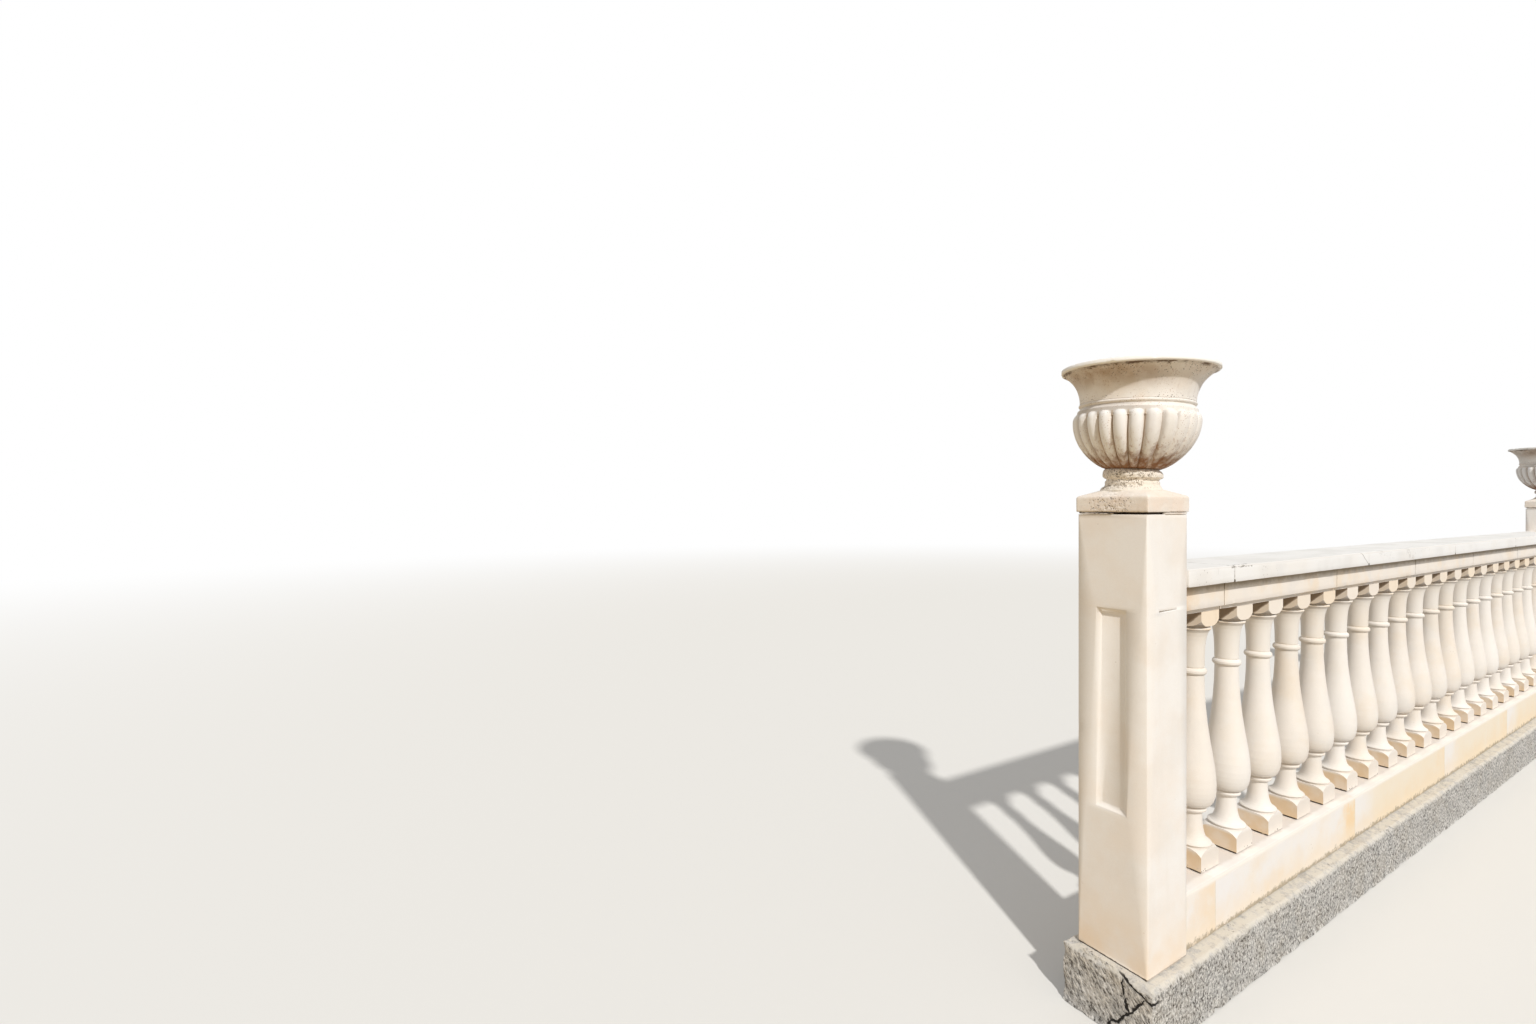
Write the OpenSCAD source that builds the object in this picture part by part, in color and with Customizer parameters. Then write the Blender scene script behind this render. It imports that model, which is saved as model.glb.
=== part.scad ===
// Stone balustrade: a terrace parapet of cast stone that runs in bays between square
// pillars. Each bay is a low curb, a row of turned balusters and a two-layer rail.
// Each pillar has a low capping stone and a gadrooned urn. Millimetres, +Z up, +X along
// the run. The origin is under the middle of the run, on the underside of the footing.

/* [Run] */
// Whole bays between pillars
bays = 2; // [1:1:3]
// Clear length of a bay, from pillar face to pillar face
bay_clear = 4568; // [3200:4:5400]
// Turned balusters in a bay
baluster_count = 21; // [12:1:24]

/* [Footing] */
// Depth of the rough concrete footing below the pillars
footing_depth = 170; // [80:5:400]
// How far the footing shows beyond the pillars, at the sides and ends
footing_margin = 32; // [15:1:80]
// Worn slope along the footing's top edges
footing_slope = 14; // [4:1:14]

/* [Pillars] */
// Width of a square pillar shaft
pillar_w = 190; // [170:2:260]
// Height of a shaft above the footing
shaft_h = 1180; // [1110:5:1500]
// Small chamfer on the upright corners of a shaft
shaft_chamfer = 2.5; // [1:0.5:8]
// Width of the sunk panel on a shaft, at its face
panel_w = 84; // [50:2:120]
// Height of the sunk panel
panel_h = 538; // [300:2:700]
// Height of the panel's foot above the footing
panel_foot = 394; // [300:2:400]
// Depth of the sunk panel
panel_depth = 10; // [4:1:20]
// Width of the splayed border round the sunk panel
panel_splay = 11; // [4:1:18]
// Height of the shrinkage gap over the mortar that fills a front panel
fill_gap = 5; // [2:0.5:10]

/* [Capping stones] */
// Overhang of the capping stone beyond the shaft
cap_overhang = 4; // [2:1:20]
// Height of the capping stone's upright edge, with the open joint under it
cap_edge_h = 50; // [30:1:70]
// Rise from the upright edge to the flat seat under the urn
cap_rise = 17; // [8:1:50]
// Worn rounding along the capping stone's top edge
cap_round = 7; // [2:0.5:12]
// Height of the raked-out joint between shaft and capping stone
joint_h = 6; // [3:1:10]
// Depth of the raked-out joint
joint_depth = 5; // [2:1:12]

/* [Curb] */
// Height of the curb that carries the balusters
curb_h = 152; // [100:2:240]
// Width of the curb, front to back
curb_w = 172; // [150:2:180]
// Worn rounding along the curb's top edges
curb_round = 9; // [3:1:14]

/* [Balusters] */
// Height of a baluster
baluster_h = 748; // [700:4:820]
// Width of the square foot and head of a baluster
block_w = 100; // [92:1:116]
// Diameter of the belly
belly_d = 123; // [100:1:126]
// Diameter of the slim stem above the belly
stem_d = 63; // [54:1:66]
// Diameter of the round collar at the top of the stem
collar_d = 77; // [74:1:90]
// How far the row stands in front of the middle of the curb
row_forward = 5; // [0:1:8]
// Height of the raked-out joint under a baluster
foot_joint_h = 3; // [2:0.5:5]
// Depth of that joint
foot_joint_depth = 4; // [2:0.5:8]

/* [Rail] */
// Height of the rail's lower stone
bed_h = 84; // [60:2:120]
// Width of the rail's lower stone
bed_w = 140; // [130:2:170]
// Height of the narrow foot under the lower stone's face
bed_foot_h = 13; // [6:1:24]
// Thickness of the coping slabs
coping_h = 48; // [30:1:70]
// Width of the coping slabs
coping_w = 202; // [190:2:280]
// Worn rounding along the coping's top edges
coping_round = 7; // [2:1:12]
// Length of a whole coping slab or bed stone
slab_len = 1000; // [700:10:1300]
// Length of the short coping slab beside each pillar at the start of a bay
first_slab_len = 234; // [150:2:600]
// Open joint between neighbouring slabs
slab_joint = 3; // [2:0.5:6]

/* [Urns] */
// Diameter of the urn's stem between the cap and its ring
urn_stem_d = 125; // [100:1:132]
// Diameter of the ring under the bowl
urn_ring_d = 146; // [136:1:170]
// Height of the urn's stem from the capping stone to the bowl
urn_stem_h = 53; // [45:1:100]
// Largest diameter of the gadrooned bowl
bowl_d = 308; // [290:2:320]
// Height of the gadrooned part of the bowl
gadroon_h = 148; // [130:2:180]
// Gadroons round the bowl
gadroons = 24; // [16:1:28]
// Height of the neck and rim above the bowl
rim_h = 109; // [90:1:130]
// Diameter of the rim
rim_d = 382; // [364:2:400]
// Thickness of the rim's lip
lip_h = 13; // [8:1:20]
// Wall of the bowl at its neck
bowl_wall = 22; // [14:1:30]
// Lean of the end pillar's urn, in degrees
end_urn_lean = 2.5; // [0:0.5:3]
// Direction of that lean, in degrees from the run towards the back
end_urn_lean_towards = -60; // [-180:5:180]

/* [Hidden] */
pillar_count = bays + 1;
bay_pitch = bay_clear + pillar_w;
run_len = bays * bay_pitch + pillar_w;
base_z = footing_depth;
curb_top = base_z + curb_h;
bed_z = curb_top + baluster_h;
coping_z = bed_z + bed_h;
shaft_top = base_z + shaft_h;
cap_top = shaft_top + cap_edge_h + cap_rise;
baluster_pitch = bay_clear / (baluster_count + 1);
baluster_group = 3;
group_count = ceil(baluster_count / baluster_group);
cap_seat_r = urn_stem_d / 2 + 6;
overlap = 1;
fine = 96;

// Baluster form. Heights run from its underside, and from its top for the head.
// Height of the foot's block at its corners
foot_side_h = 45;
// Height of the foot's domed top
foot_h = 62;
// Height of the undercut above the dome, and its radius
foot_gap = 5;
foot_neck_r = 44;
// Thickness and radius of the thin lip above the undercut
foot_lip_h = 4;
foot_lip_r = 50.5;
// Slimmest radius of the hollow sweep above the lip, and where it ends
scotia_r = 26.5;
scotia_z = 153;
// Radius and thickness of the ring under the belly
fillet_r = 37.5;
fillet_h = 14;
// Height of the belly's widest place, and its reach below and above
belly_z = 240;
belly_low = 40;
belly_high = 71;
// Height at which the stem meets the collar, and the stem's straight reach
stem_z = 557;
stem_reach = 170;
// Roundness of the collar
collar_round = 10;
// Radius of the neck between the collar and the head
neck_r = 32;
neck_reach = 50;
// Radius and thickness of the thin lip under the head, and the undercut above it
lip_r = 48.5;
head_lip_h = 7.5;
head_gap = 5;
head_neck_r = 40;
// Height of the head's block at its corners and at its turned underside
head_side_h = 26;
head_h = 45;
// How far the foot of the rail's lower stone shows in front of the heads
bed_foot_show = 2;
// How far a bead's round runs to each side of its widest place, in degrees
bead_turn = 80;

// Urn form. Heights run from the bowl's underside.
bowl_foot_r = 65;
widest_z = gadroon_h - 18;
// Height of a gadroon's round end
end_round = 18;
// Where the plain shoulder turns in, and the groove under the bead
shoulder_z = gadroon_h + 8;
groove_z = gadroon_h + 15;
// How far the shoulder and the groove lie behind the gadroons' crowns
shoulder_set = 8;
groove_set = 15;
bead_z = groove_z + 8;
bead_round = 5;
urn_neck_r = bowl_d / 2 - 15.5;
// Inner floor of the bowl and the round between floor and wall
floor_z = 44;
floor_round = 38;
rim_wall = 20;

stone_ivory = [0.95, 0.91, 0.84];
stone_white = [0.96, 0.95, 0.92];
stone_warm = [0.93, 0.88, 0.79];
stone_pitted = [0.88, 0.82, 0.76];
concrete_grey = [0.62, 0.60, 0.57];

function name_of(kind, i) = str(kind, "_", i);
function balusters_name(bay, group) = str("bay_", bay, "_balusters_", group);

NODES = concat(
    ["footing"],
    [for (bay = [1:bays]) for (kind = ["curb", "rail_bed", "rail_coping"]) name_of(kind, bay)],
    [for (bay = [1:bays]) for (group = [1:group_count]) balusters_name(bay, group)],
    [for (kind = ["pillar_shaft", "pillar_cap", "urn_stem", "urn_bowl"])
        for (i = [1:pillar_count]) name_of(kind, i)]
);
node = "all";

function shown(name) = node == "all" || node == name;

// Centre of a pillar along the run, pillars counted from 1 at the near end.
function pillar_x(i) = (i - 1) * bay_pitch - bays * bay_pitch / 2;

// Where a bay starts: the face of the pillar before it.
function bay_x(bay) = pillar_x(bay) + pillar_w / 2;

// Points of a cubic curve between a and d, drawn towards b and c.
function curve(a, b, c, d, steps) = [
    for (i = [0:steps])
        let (t = i / steps, s = 1 - t)
        s * s * s * a + 3 * s * s * t * b + 3 * s * t * t * c + t * t * t * d
];

// Points of a round arc in the plane of an outline, from one angle to another.
function arc(centre, r, from, to, steps) = [
    for (i = [0:steps])
        let (angle = from + (to - from) * i / steps)
        centre + r * [cos(angle), sin(angle)]
];

// A bar along X whose upper edges are rounded, standing on the plane z = 0.
module rounded_bar(len, w, h, r) {
    half = w / 2;
    outline = concat(
        [[-half, 0], [half, 0]],
        arc([half - r, h - r], r, 0, 90, 5),
        arc([r - half, h - r], r, 90, 180, 5)
    );
    rotate([90, 0, 90])
        linear_extrude(len)
            polygon(outline);
}

// A square block whose upright corners have a small chamfer.
module chamfered_post(w, h, c) {
    half = w / 2;
    linear_extrude(h)
        polygon([
            [half - c, -half], [half, c - half], [half, half - c], [half - c, half],
            [c - half, half], [-half, half - c], [-half, c - half], [c - half, -half]
        ]);
}

// The sunk panel's hollow, cut into a face that looks along -X at x = 0.
module panel_hollow() {
    hull() {
        translate([-overlap, -panel_w / 2, 0])
            cube([overlap, panel_w, panel_h]);
        translate([0, panel_splay - panel_w / 2, panel_splay])
            cube([panel_depth, panel_w - 2 * panel_splay, panel_h - 2 * panel_splay]);
    }
}

// The rough strip of concrete that carries the curbs and pillars.
module footing() {
    len = run_len + 2 * footing_margin;
    w = pillar_w + 2 * footing_margin;
    side = footing_depth - footing_slope;
    color(concrete_grey)
        hull() {
            translate([-len / 2, -w / 2, 0])
                cube([len, w, side]);
            translate([footing_slope - len / 2, footing_slope - w / 2, 0])
                cube([len - 2 * footing_slope, w - 2 * footing_slope, footing_depth]);
        }
}

// The low curb of a bay.
module curb(bay) {
    color(stone_warm)
        translate([bay_x(bay), 0, base_z])
            rounded_bar(bay_clear, curb_w, curb_h, curb_round);
}

// The thin gap that shrinkage left over the mortar of a filled panel. It cuts into a
// face that looks along -Y at y = 0, and tapers off along the run.
module fill_shrinkage() {
    translate([0, panel_depth, 0])
        rotate([90, 0, 0])
            linear_extrude(panel_depth + overlap)
                polygon([
                    [-panel_w / 2, -fill_gap], [panel_w / 2, -fill_gap / 4],
                    [panel_w / 2, 0], [-panel_w / 2, 0]
                ]);
}

// A square pillar shaft. The back face has a sunk panel, and so has the outer face of
// a pillar that ends the run. The panel of the front face is filled up.
module pillar_shaft(i) {
    color(stone_ivory)
        translate([pillar_x(i), 0, base_z])
            difference() {
                chamfered_post(pillar_w, shaft_h, shaft_chamfer);
                translate([0, -pillar_w / 2, panel_foot + panel_h])
                    fill_shrinkage();
                rotate([0, 0, -90])
                    translate([-pillar_w / 2, 0, panel_foot])
                        panel_hollow();
                if (i == 1)
                    translate([-pillar_w / 2, 0, panel_foot])
                        panel_hollow();
                if (i == pillar_count)
                    rotate([0, 0, 180])
                        translate([-pillar_w / 2, 0, panel_foot])
                            panel_hollow();
            }
}

// The capping stone: an upright edge over a raked-out joint, and a low rise to the urn.
module pillar_cap(i) {
    w = pillar_w + 2 * cap_overhang;
    bed = pillar_w - 2 * joint_depth;
    block_h = cap_edge_h - joint_h;
    round_steps = 3;
    color(stone_pitted)
        translate([pillar_x(i), 0, shaft_top]) {
            translate([-bed / 2, -bed / 2, 0])
                cube([bed, bed, joint_h]);
            translate([0, 0, joint_h])
                hull() {
                    for (k = [0:round_steps]) {
                        turn = 90 * k / round_steps;
                        in = cap_round * (1 - cos(turn));
                        translate([in - w / 2, in - w / 2, 0])
                            cube([w - 2 * in, w - 2 * in, block_h - cap_round * (1 - sin(turn))]);
                    }
                    cylinder(r = cap_seat_r, h = block_h + cap_rise, $fn = 32);
                }
        }
}

// Half a bead that bulges to the radius x, with its widest place at the height z.
function bead(x, z, r, steps) = arc([x - r, z], r, -bead_turn, bead_turn, steps);

// Outline of the turned part of a baluster, from the dome of its foot to its head.
function baluster_outline() =
    let (
        lip_foot = foot_h + foot_gap,
        lip_top = lip_foot + foot_lip_h,
        ring_z = scotia_z + 5 + fillet_h / 2,
        belly_foot = ring_z + fillet_h / 2 + 1,
        belly_r = belly_d / 2,
        stem_r = stem_d / 2,
        collar_z = stem_z + collar_round,
        neck_z = collar_z + collar_round + 4,
        head_z = baluster_h - head_h,
        lip_z = head_z - head_gap - head_lip_h
    )
    concat(
        [[0, foot_h - overlap], [foot_neck_r, foot_h - overlap], [foot_neck_r, lip_foot]],
        bead(foot_lip_r, (lip_foot + lip_top) / 2, foot_lip_h / 2, 3),
        curve([foot_lip_r - 2, lip_top + 0.5], [scotia_r + 6, lip_top + 6],
              [scotia_r, lip_top + 30], [scotia_r, scotia_z], 8),
        bead(fillet_r, ring_z, fillet_h / 2, 4),
        [[fillet_r - 5, belly_foot]],
        curve([fillet_r - 2, belly_foot + 1], [fillet_r + 15, belly_foot + 3],
              [belly_r, belly_z - belly_low], [belly_r, belly_z], 7),
        curve([belly_r, belly_z], [belly_r, belly_z + belly_high],
              [stem_r + 1, stem_z - stem_reach], [stem_r, stem_z], 9),
        bead(collar_d / 2, collar_z, collar_round, 5),
        curve([neck_r, neck_z], [neck_r, neck_z + neck_reach],
              [neck_r + 2, lip_z - 12.5], [lip_r - 2.5, lip_z - 0.5], 7),
        bead(lip_r, lip_z + head_lip_h / 2, head_lip_h / 2, 4),
        [[head_neck_r, lip_z + head_lip_h], [head_neck_r, head_z + overlap], [0, head_z + overlap]]
    );

// Outline of a block's turned dome: flat in the middle, falling to the block's corners.
function dome(side_h, full_h) =
    let (half = block_w / 2, corner = half * sqrt(2) + overlap)
    concat(
        [[0, 0], [corner, 0]],
        curve([corner, side_h - overlap], [corner - 6, side_h + 9],
              [half + 9, full_h - 1], [half + 1, full_h], 4),
        [[0, full_h]]
    );

// A square block whose top is turned down to its corners, over a joint of some height.
module domed_block(side_h, full_h, joint) {
    intersection() {
        translate([-block_w / 2, -block_w / 2, joint])
            cube([block_w, block_w, full_h - joint]);
        rotate_extrude($fn = fine)
            polygon(dome(side_h, full_h));
    }
}

// A baluster: a domed square foot on its bedding, a turned shaft, and a head that is the
// foot's block upside down.
module baluster() {
    bedding = block_w - 2 * foot_joint_depth;
    translate([-bedding / 2, -bedding / 2, 0])
        cube([bedding, bedding, foot_joint_h + overlap]);
    domed_block(foot_side_h, foot_h, foot_joint_h);
    rotate_extrude($fn = fine)
        polygon(baluster_outline());
    translate([0, 0, baluster_h])
        mirror([0, 0, 1])
            domed_block(head_side_h, head_h, 0);
}

// Up to three neighbouring balusters of a bay.
module balusters(bay, group) {
    first = (group - 1) * baluster_group + 1;
    last = min(group * baluster_group, baluster_count);
    color(stone_ivory)
        for (k = [first:last])
            translate([bay_x(bay) + k * baluster_pitch, -row_forward, curb_top])
                baluster();
}

// Joints of a course of stones: the first stone's end, then one whole stone after another.
function course_ends(first) = concat(
    [0],
    [for (x = [first:slab_len:bay_clear - slab_len / 4]) x],
    [bay_clear]
);

// A course of stones along a bay, with an open joint between neighbours. The stones
// may stand on a narrower foot.
module course(first, w, h, r, foot_w = 0, foot_h = 0) {
    ends = course_ends(first);
    count = len(ends) - 1;
    for (k = [0:count - 1]) {
        start = ends[k] + (k > 0 ? slab_joint / 2 : 0);
        end = ends[k + 1] - (k < count - 1 ? slab_joint / 2 : 0);
        translate([start, 0, foot_h])
            rounded_bar(end - start, w, h - foot_h, r);
        if (foot_h > 0)
            translate([start, -foot_w / 2, 0])
                cube([end - start, foot_w, foot_h + overlap]);
    }
}

// The rail's lower stones. Their narrow foot lies on the balusters' heads.
module rail_bed(bay) {
    bed_round = 2;
    foot_w = block_w + 2 * (row_forward + bed_foot_show);
    color(stone_warm)
        translate([bay_x(bay), 0, bed_z])
            course(slab_len + 30, bed_w, bed_h, bed_round, foot_w, bed_foot_h);
}

// The rail's coping slabs, with a short one at each end of the bay.
module rail_coping(bay) {
    color(stone_white)
        translate([bay_x(bay), 0, coping_z])
            course(first_slab_len, coping_w, coping_h, coping_round);
}

// Puts an urn's piece on its pillar. The urn of the end pillar leans.
module on_pillar(i) {
    translate([pillar_x(i), 0, cap_top])
        rotate([0, 0, end_urn_lean_towards])
            rotate([0, i == 1 ? end_urn_lean : 0, 0])
                rotate([0, 0, -end_urn_lean_towards])
                    children();
}

// The urn's round stem. It reaches below its seat so that a leaning one has no gap,
// and is cut off level with the top of the capping stone.
module urn_stem(i) {
    stem_r = urn_stem_d / 2;
    ring_r = urn_ring_d / 2;
    skirt = 6;
    ring_h = 20;
    ring_z = urn_stem_h - ring_h / 2 - 5;
    ring_foot = ring_z - ring_h / 2;
    outline = concat(
        [[0, -skirt], [cap_seat_r - 1, -skirt], [cap_seat_r - 1, 2]],
        [[stem_r, 6], [stem_r, ring_foot - 8], [stem_r - 3, ring_foot - 6], [stem_r - 3, ring_foot - 2]],
        bead(ring_r, ring_z, ring_h / 2, 6),
        [[ring_r - 14, urn_stem_h - 4], [ring_r - 17, urn_stem_h], [0, urn_stem_h]]
    );
    color(stone_pitted)
        difference() {
            on_pillar(i)
                rotate_extrude($fn = fine)
                    polygon(outline);
            translate([pillar_x(i) - pillar_w, -pillar_w, cap_top - pillar_w])
                cube([2 * pillar_w, 2 * pillar_w, pillar_w]);
        }
}

// Facets across a gadroon, rows along it, and where its round end starts.
gadroon_facets = 6;
gadroon_rows = [0, 0.1, 0.22, 0.36, 0.52, 0.68, 0.82, 0.91, 0.96, 0.99, 1];
end_share = 0.8;

// Radius over the crowns of the gadroons at a height.
function crown_r(z) =
    bowl_foot_r + (bowl_d / 2 - bowl_foot_r) * pow(1 - pow((widest_z - z) / widest_z, 2) * 0.999, 0.75);

// Radius of the plain shoulder behind the gadroons' round ends.
function shoulder_r(z) =
    bowl_d / 2 - shoulder_set
    - 0.1 * max(0, min(z, shoulder_z) - widest_z)
    - (groove_set - shoulder_set) * max(0, z - shoulder_z) / (groove_z - shoulder_z);

// Swell across one gadroon: 1 on the crown, 0 in the valleys beside it.
function swell(t) = (sqrt(1 - pow(0.95 * t, 2)) - sqrt(1 - 0.9025)) / (1 - sqrt(1 - 0.9025));

// Height at which a gadroon's round end stops, across its width.
function end_z(t) = gadroon_h - end_round * (1 - sqrt(1 - t * t));

function fade(s) = s < end_share ? 1 : sqrt(1 - pow((s - end_share) / (1 - end_share), 2));

// Radius of the bowl at a place across and along a gadroon.
function gadroon_r(t, s, z) =
    let (
        crown = crown_r(z),
        valley_depth = 0.062 * crown,
        full = crown - valley_depth * (1 - swell(t)),
        plain = min(full, shoulder_r(z))
    )
    plain + (full - plain) * fade(s);

function ring_point(k, z, r) =
    let (angle = 360 * k / (gadroons * gadroon_facets))
    [r * cos(angle), r * sin(angle), z];

// Place across a gadroon, from -1 in one valley to 1 in the next.
function across(k) = 2 * (k % gadroon_facets) / gadroon_facets - 1;

// The gadrooned bowl as one closed skin, from its flat underside to the groove on top.
module gadrooned_bowl() {
    sides = gadroons * gadroon_facets;
    row_count = len(gadroon_rows);
    shoulder_levels = [shoulder_z, groove_z];
    points = concat(
        [
            for (s = gadroon_rows) for (k = [0:sides - 1])
                let (t = across(k), z = end_z(t) * s)
                ring_point(k, z, gadroon_r(t, s, z))
        ],
        [
            for (z = shoulder_levels) for (k = [0:sides - 1])
                ring_point(k, z, shoulder_r(z))
        ]
    );
    rings = row_count + len(shoulder_levels);
    faces = concat(
        [[for (k = [0:sides - 1]) k]],
        [
            for (j = [0:rings - 2]) for (k = [0:sides - 1])
                let (a = j * sides + k, b = j * sides + (k + 1) % sides)
                each [[a, a + sides, b], [b, a + sides, b + sides]]
        ],
        [[for (k = [sides - 1:-1:0]) (rings - 1) * sides + k]]
    );
    polyhedron(points, faces, convexity = 4);
}

// The urn's bowl: gadrooned below, then a bead, a hollowed neck and a spreading rim.
module urn_bowl(i) {
    top = groove_z + rim_h;
    lip_z = top - lip_h;
    rim_r = rim_d / 2;
    bead_top = bead_z + bead_round;
    inner_r = urn_neck_r - bowl_wall;
    rim_outline = concat(
        [[0, groove_z - overlap], [urn_neck_r - 2, groove_z - overlap], [urn_neck_r - 2, groove_z + 2]],
        bead(urn_neck_r + 2.5, bead_z, bead_round, 4),
        curve([urn_neck_r, bead_top], [urn_neck_r + 1, bead_top + 30],
              [urn_neck_r + 11.5, lip_z - 21], [rim_r - 8, lip_z - 1], 9),
        [[rim_r - 5, lip_z], [rim_r, top - 3], [rim_r - 3, top], [0, top]]
    );
    hollow_outline = concat(
        [[0, floor_z], [inner_r - floor_round, floor_z]],
        arc([inner_r - floor_round, floor_z + floor_round], floor_round, -60, 0, 4),
        [[inner_r, bead_z]],
        curve([inner_r + 1, bead_z + 6], [inner_r + 4, bead_z + 40],
              [rim_r - 46, lip_z - 6], [rim_r - rim_wall, top], 6),
        [[rim_r - rim_wall, top + overlap], [0, top + overlap]]
    );
    color(stone_ivory)
        on_pillar(i)
            translate([0, 0, urn_stem_h])
                difference() {
                    union() {
                        gadrooned_bowl();
                        rotate_extrude($fn = fine)
                            polygon(rim_outline);
                    }
                    rotate_extrude($fn = fine)
                        polygon(hollow_outline);
                }
}

if (shown("footing")) footing();
for (bay = [1:bays]) {
    if (shown(name_of("curb", bay))) curb(bay);
    if (shown(name_of("rail_bed", bay))) rail_bed(bay);
    if (shown(name_of("rail_coping", bay))) rail_coping(bay);
    for (group = [1:group_count])
        if (shown(balusters_name(bay, group))) balusters(bay, group);
}
for (i = [1:pillar_count]) {
    if (shown(name_of("pillar_shaft", i))) pillar_shaft(i);
    if (shown(name_of("pillar_cap", i))) pillar_cap(i);
    if (shown(name_of("urn_stem", i))) urn_stem(i);
    if (shown(name_of("urn_bowl", i))) urn_bowl(i);
}
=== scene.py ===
"""Stone balustrade: worn stones, stone finishes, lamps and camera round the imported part.

Metres, +Z up. The run goes along +X and its terrace front looks along -Y.
"""
import logging
import math
from dataclasses import dataclass
from enum import Enum
from typing import Iterable

import bmesh
import bpy
from mathutils import Matrix, Vector, noise


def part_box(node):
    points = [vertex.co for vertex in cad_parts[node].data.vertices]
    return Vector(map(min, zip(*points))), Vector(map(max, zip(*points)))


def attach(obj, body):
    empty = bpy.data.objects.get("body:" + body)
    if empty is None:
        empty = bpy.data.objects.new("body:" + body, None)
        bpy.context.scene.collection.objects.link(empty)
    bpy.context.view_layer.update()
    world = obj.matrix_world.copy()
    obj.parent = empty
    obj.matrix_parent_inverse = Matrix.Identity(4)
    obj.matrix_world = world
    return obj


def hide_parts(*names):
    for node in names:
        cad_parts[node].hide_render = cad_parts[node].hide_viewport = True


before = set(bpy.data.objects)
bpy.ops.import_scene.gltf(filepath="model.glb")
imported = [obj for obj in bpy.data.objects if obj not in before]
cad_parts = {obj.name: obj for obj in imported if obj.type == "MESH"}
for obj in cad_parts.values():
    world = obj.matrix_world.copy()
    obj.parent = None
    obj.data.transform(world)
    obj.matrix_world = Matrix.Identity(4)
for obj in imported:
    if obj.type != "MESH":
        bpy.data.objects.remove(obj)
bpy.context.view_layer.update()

log = logging.getLogger("balustrade")
MM = 0.001
BODY = "root"
BAYS = 2
BAY_PITCH = 4.758  # from one pillar's middle to the next one's
FIRST_X = -4.663  # where the first bay leaves the near pillar
FOOTING_TOP = 0.170
CURB_TOP = 0.322
BED_TOP = 1.154
CAP_TOP = 1.417
BED_STONES = (0.258, 0.80)  # first joint in a bay, then the length of the stones
COPING_SLABS = (0.248, 1.0)

Triple = tuple[float, float, float]
Pair = tuple[float, float]


def linear(hex_code: str) -> tuple[float, float, float, float]:
    """Turns an sRGB colour into the linear one that shaders take.

    Args:
        hex_code: Six hex digits, such as "F6EEE3".

    Returns:
        Red, green, blue and an alpha of 1.
    """
    def channel(c: float) -> float:
        """One channel from sRGB to linear."""
        return c / 12.92 if c <= 0.04045 else ((c + 0.055) / 1.055) ** 2.4

    return (*(channel(int(hex_code[i:i + 2], 16) / 255) for i in (0, 2, 4)), 1.0)


def held(value: float) -> float:
    """A value held between 0 and 1."""
    return max(0.0, min(1.0, value))


class Field:
    """A number that varies over a surface: a shader socket that takes part in arithmetic."""

    def __init__(self, graph: "Graph", socket: bpy.types.NodeSocket) -> None:
        """Wraps a socket of a graph."""
        self.graph, self.socket = graph, socket

    def step(self, operation: str, other: "Field | float" = 0.0, turned: bool = False) -> "Field":
        """One step of arithmetic.

        Args:
            operation: Name of the operation.
            other: What stands beside this field.
            turned: Whether the other one comes first.

        Returns:
            The result.
        """
        first, second = (other, self) if turned else (self, other)
        return self.graph.value("Math", {0: first, 1: second}, operation=operation)

    def __add__(self, other: "Field | float") -> "Field":
        """The sum."""
        return self.step("ADD", other)

    def __sub__(self, other: "Field | float") -> "Field":
        """The difference."""
        return self.step("SUBTRACT", other)

    def __rsub__(self, other: float) -> "Field":
        """A number less this field."""
        return self.step("SUBTRACT", other, turned=True)

    def __mul__(self, other: "Field | float") -> "Field":
        """The product, or what two masks share."""
        return self.step("MULTIPLY", other)

    def __truediv__(self, other: "Field | float") -> "Field":
        """The quotient."""
        return self.step("DIVIDE", other)

    def __mod__(self, other: float) -> "Field":
        """What is left above the last whole multiple."""
        return self.step("FLOORED_MODULO", other)

    def __or__(self, other: "Field | float") -> "Field":
        """The larger of the two, or what either mask covers."""
        return self.step("MAXIMUM", other)

    def __abs__(self) -> "Field":
        """The size without its sign."""
        return self.step("ABSOLUTE")

    def span(self, low: float, high: float, out: Pair = (0.0, 1.0)) -> "Field":
        """Maps low to high smoothly onto a range and clamps it.

        Args:
            low: Value that gives the first end.
            high: Value that gives the second end.
            out: The two ends.

        Returns:
            The mapped field.
        """
        return self.graph.value("MapRange", {
            "Value": self, "From Min": low, "From Max": high, "To Min": out[0], "To Max": out[1]},
            interpolation_type="SMOOTHSTEP")


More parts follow.
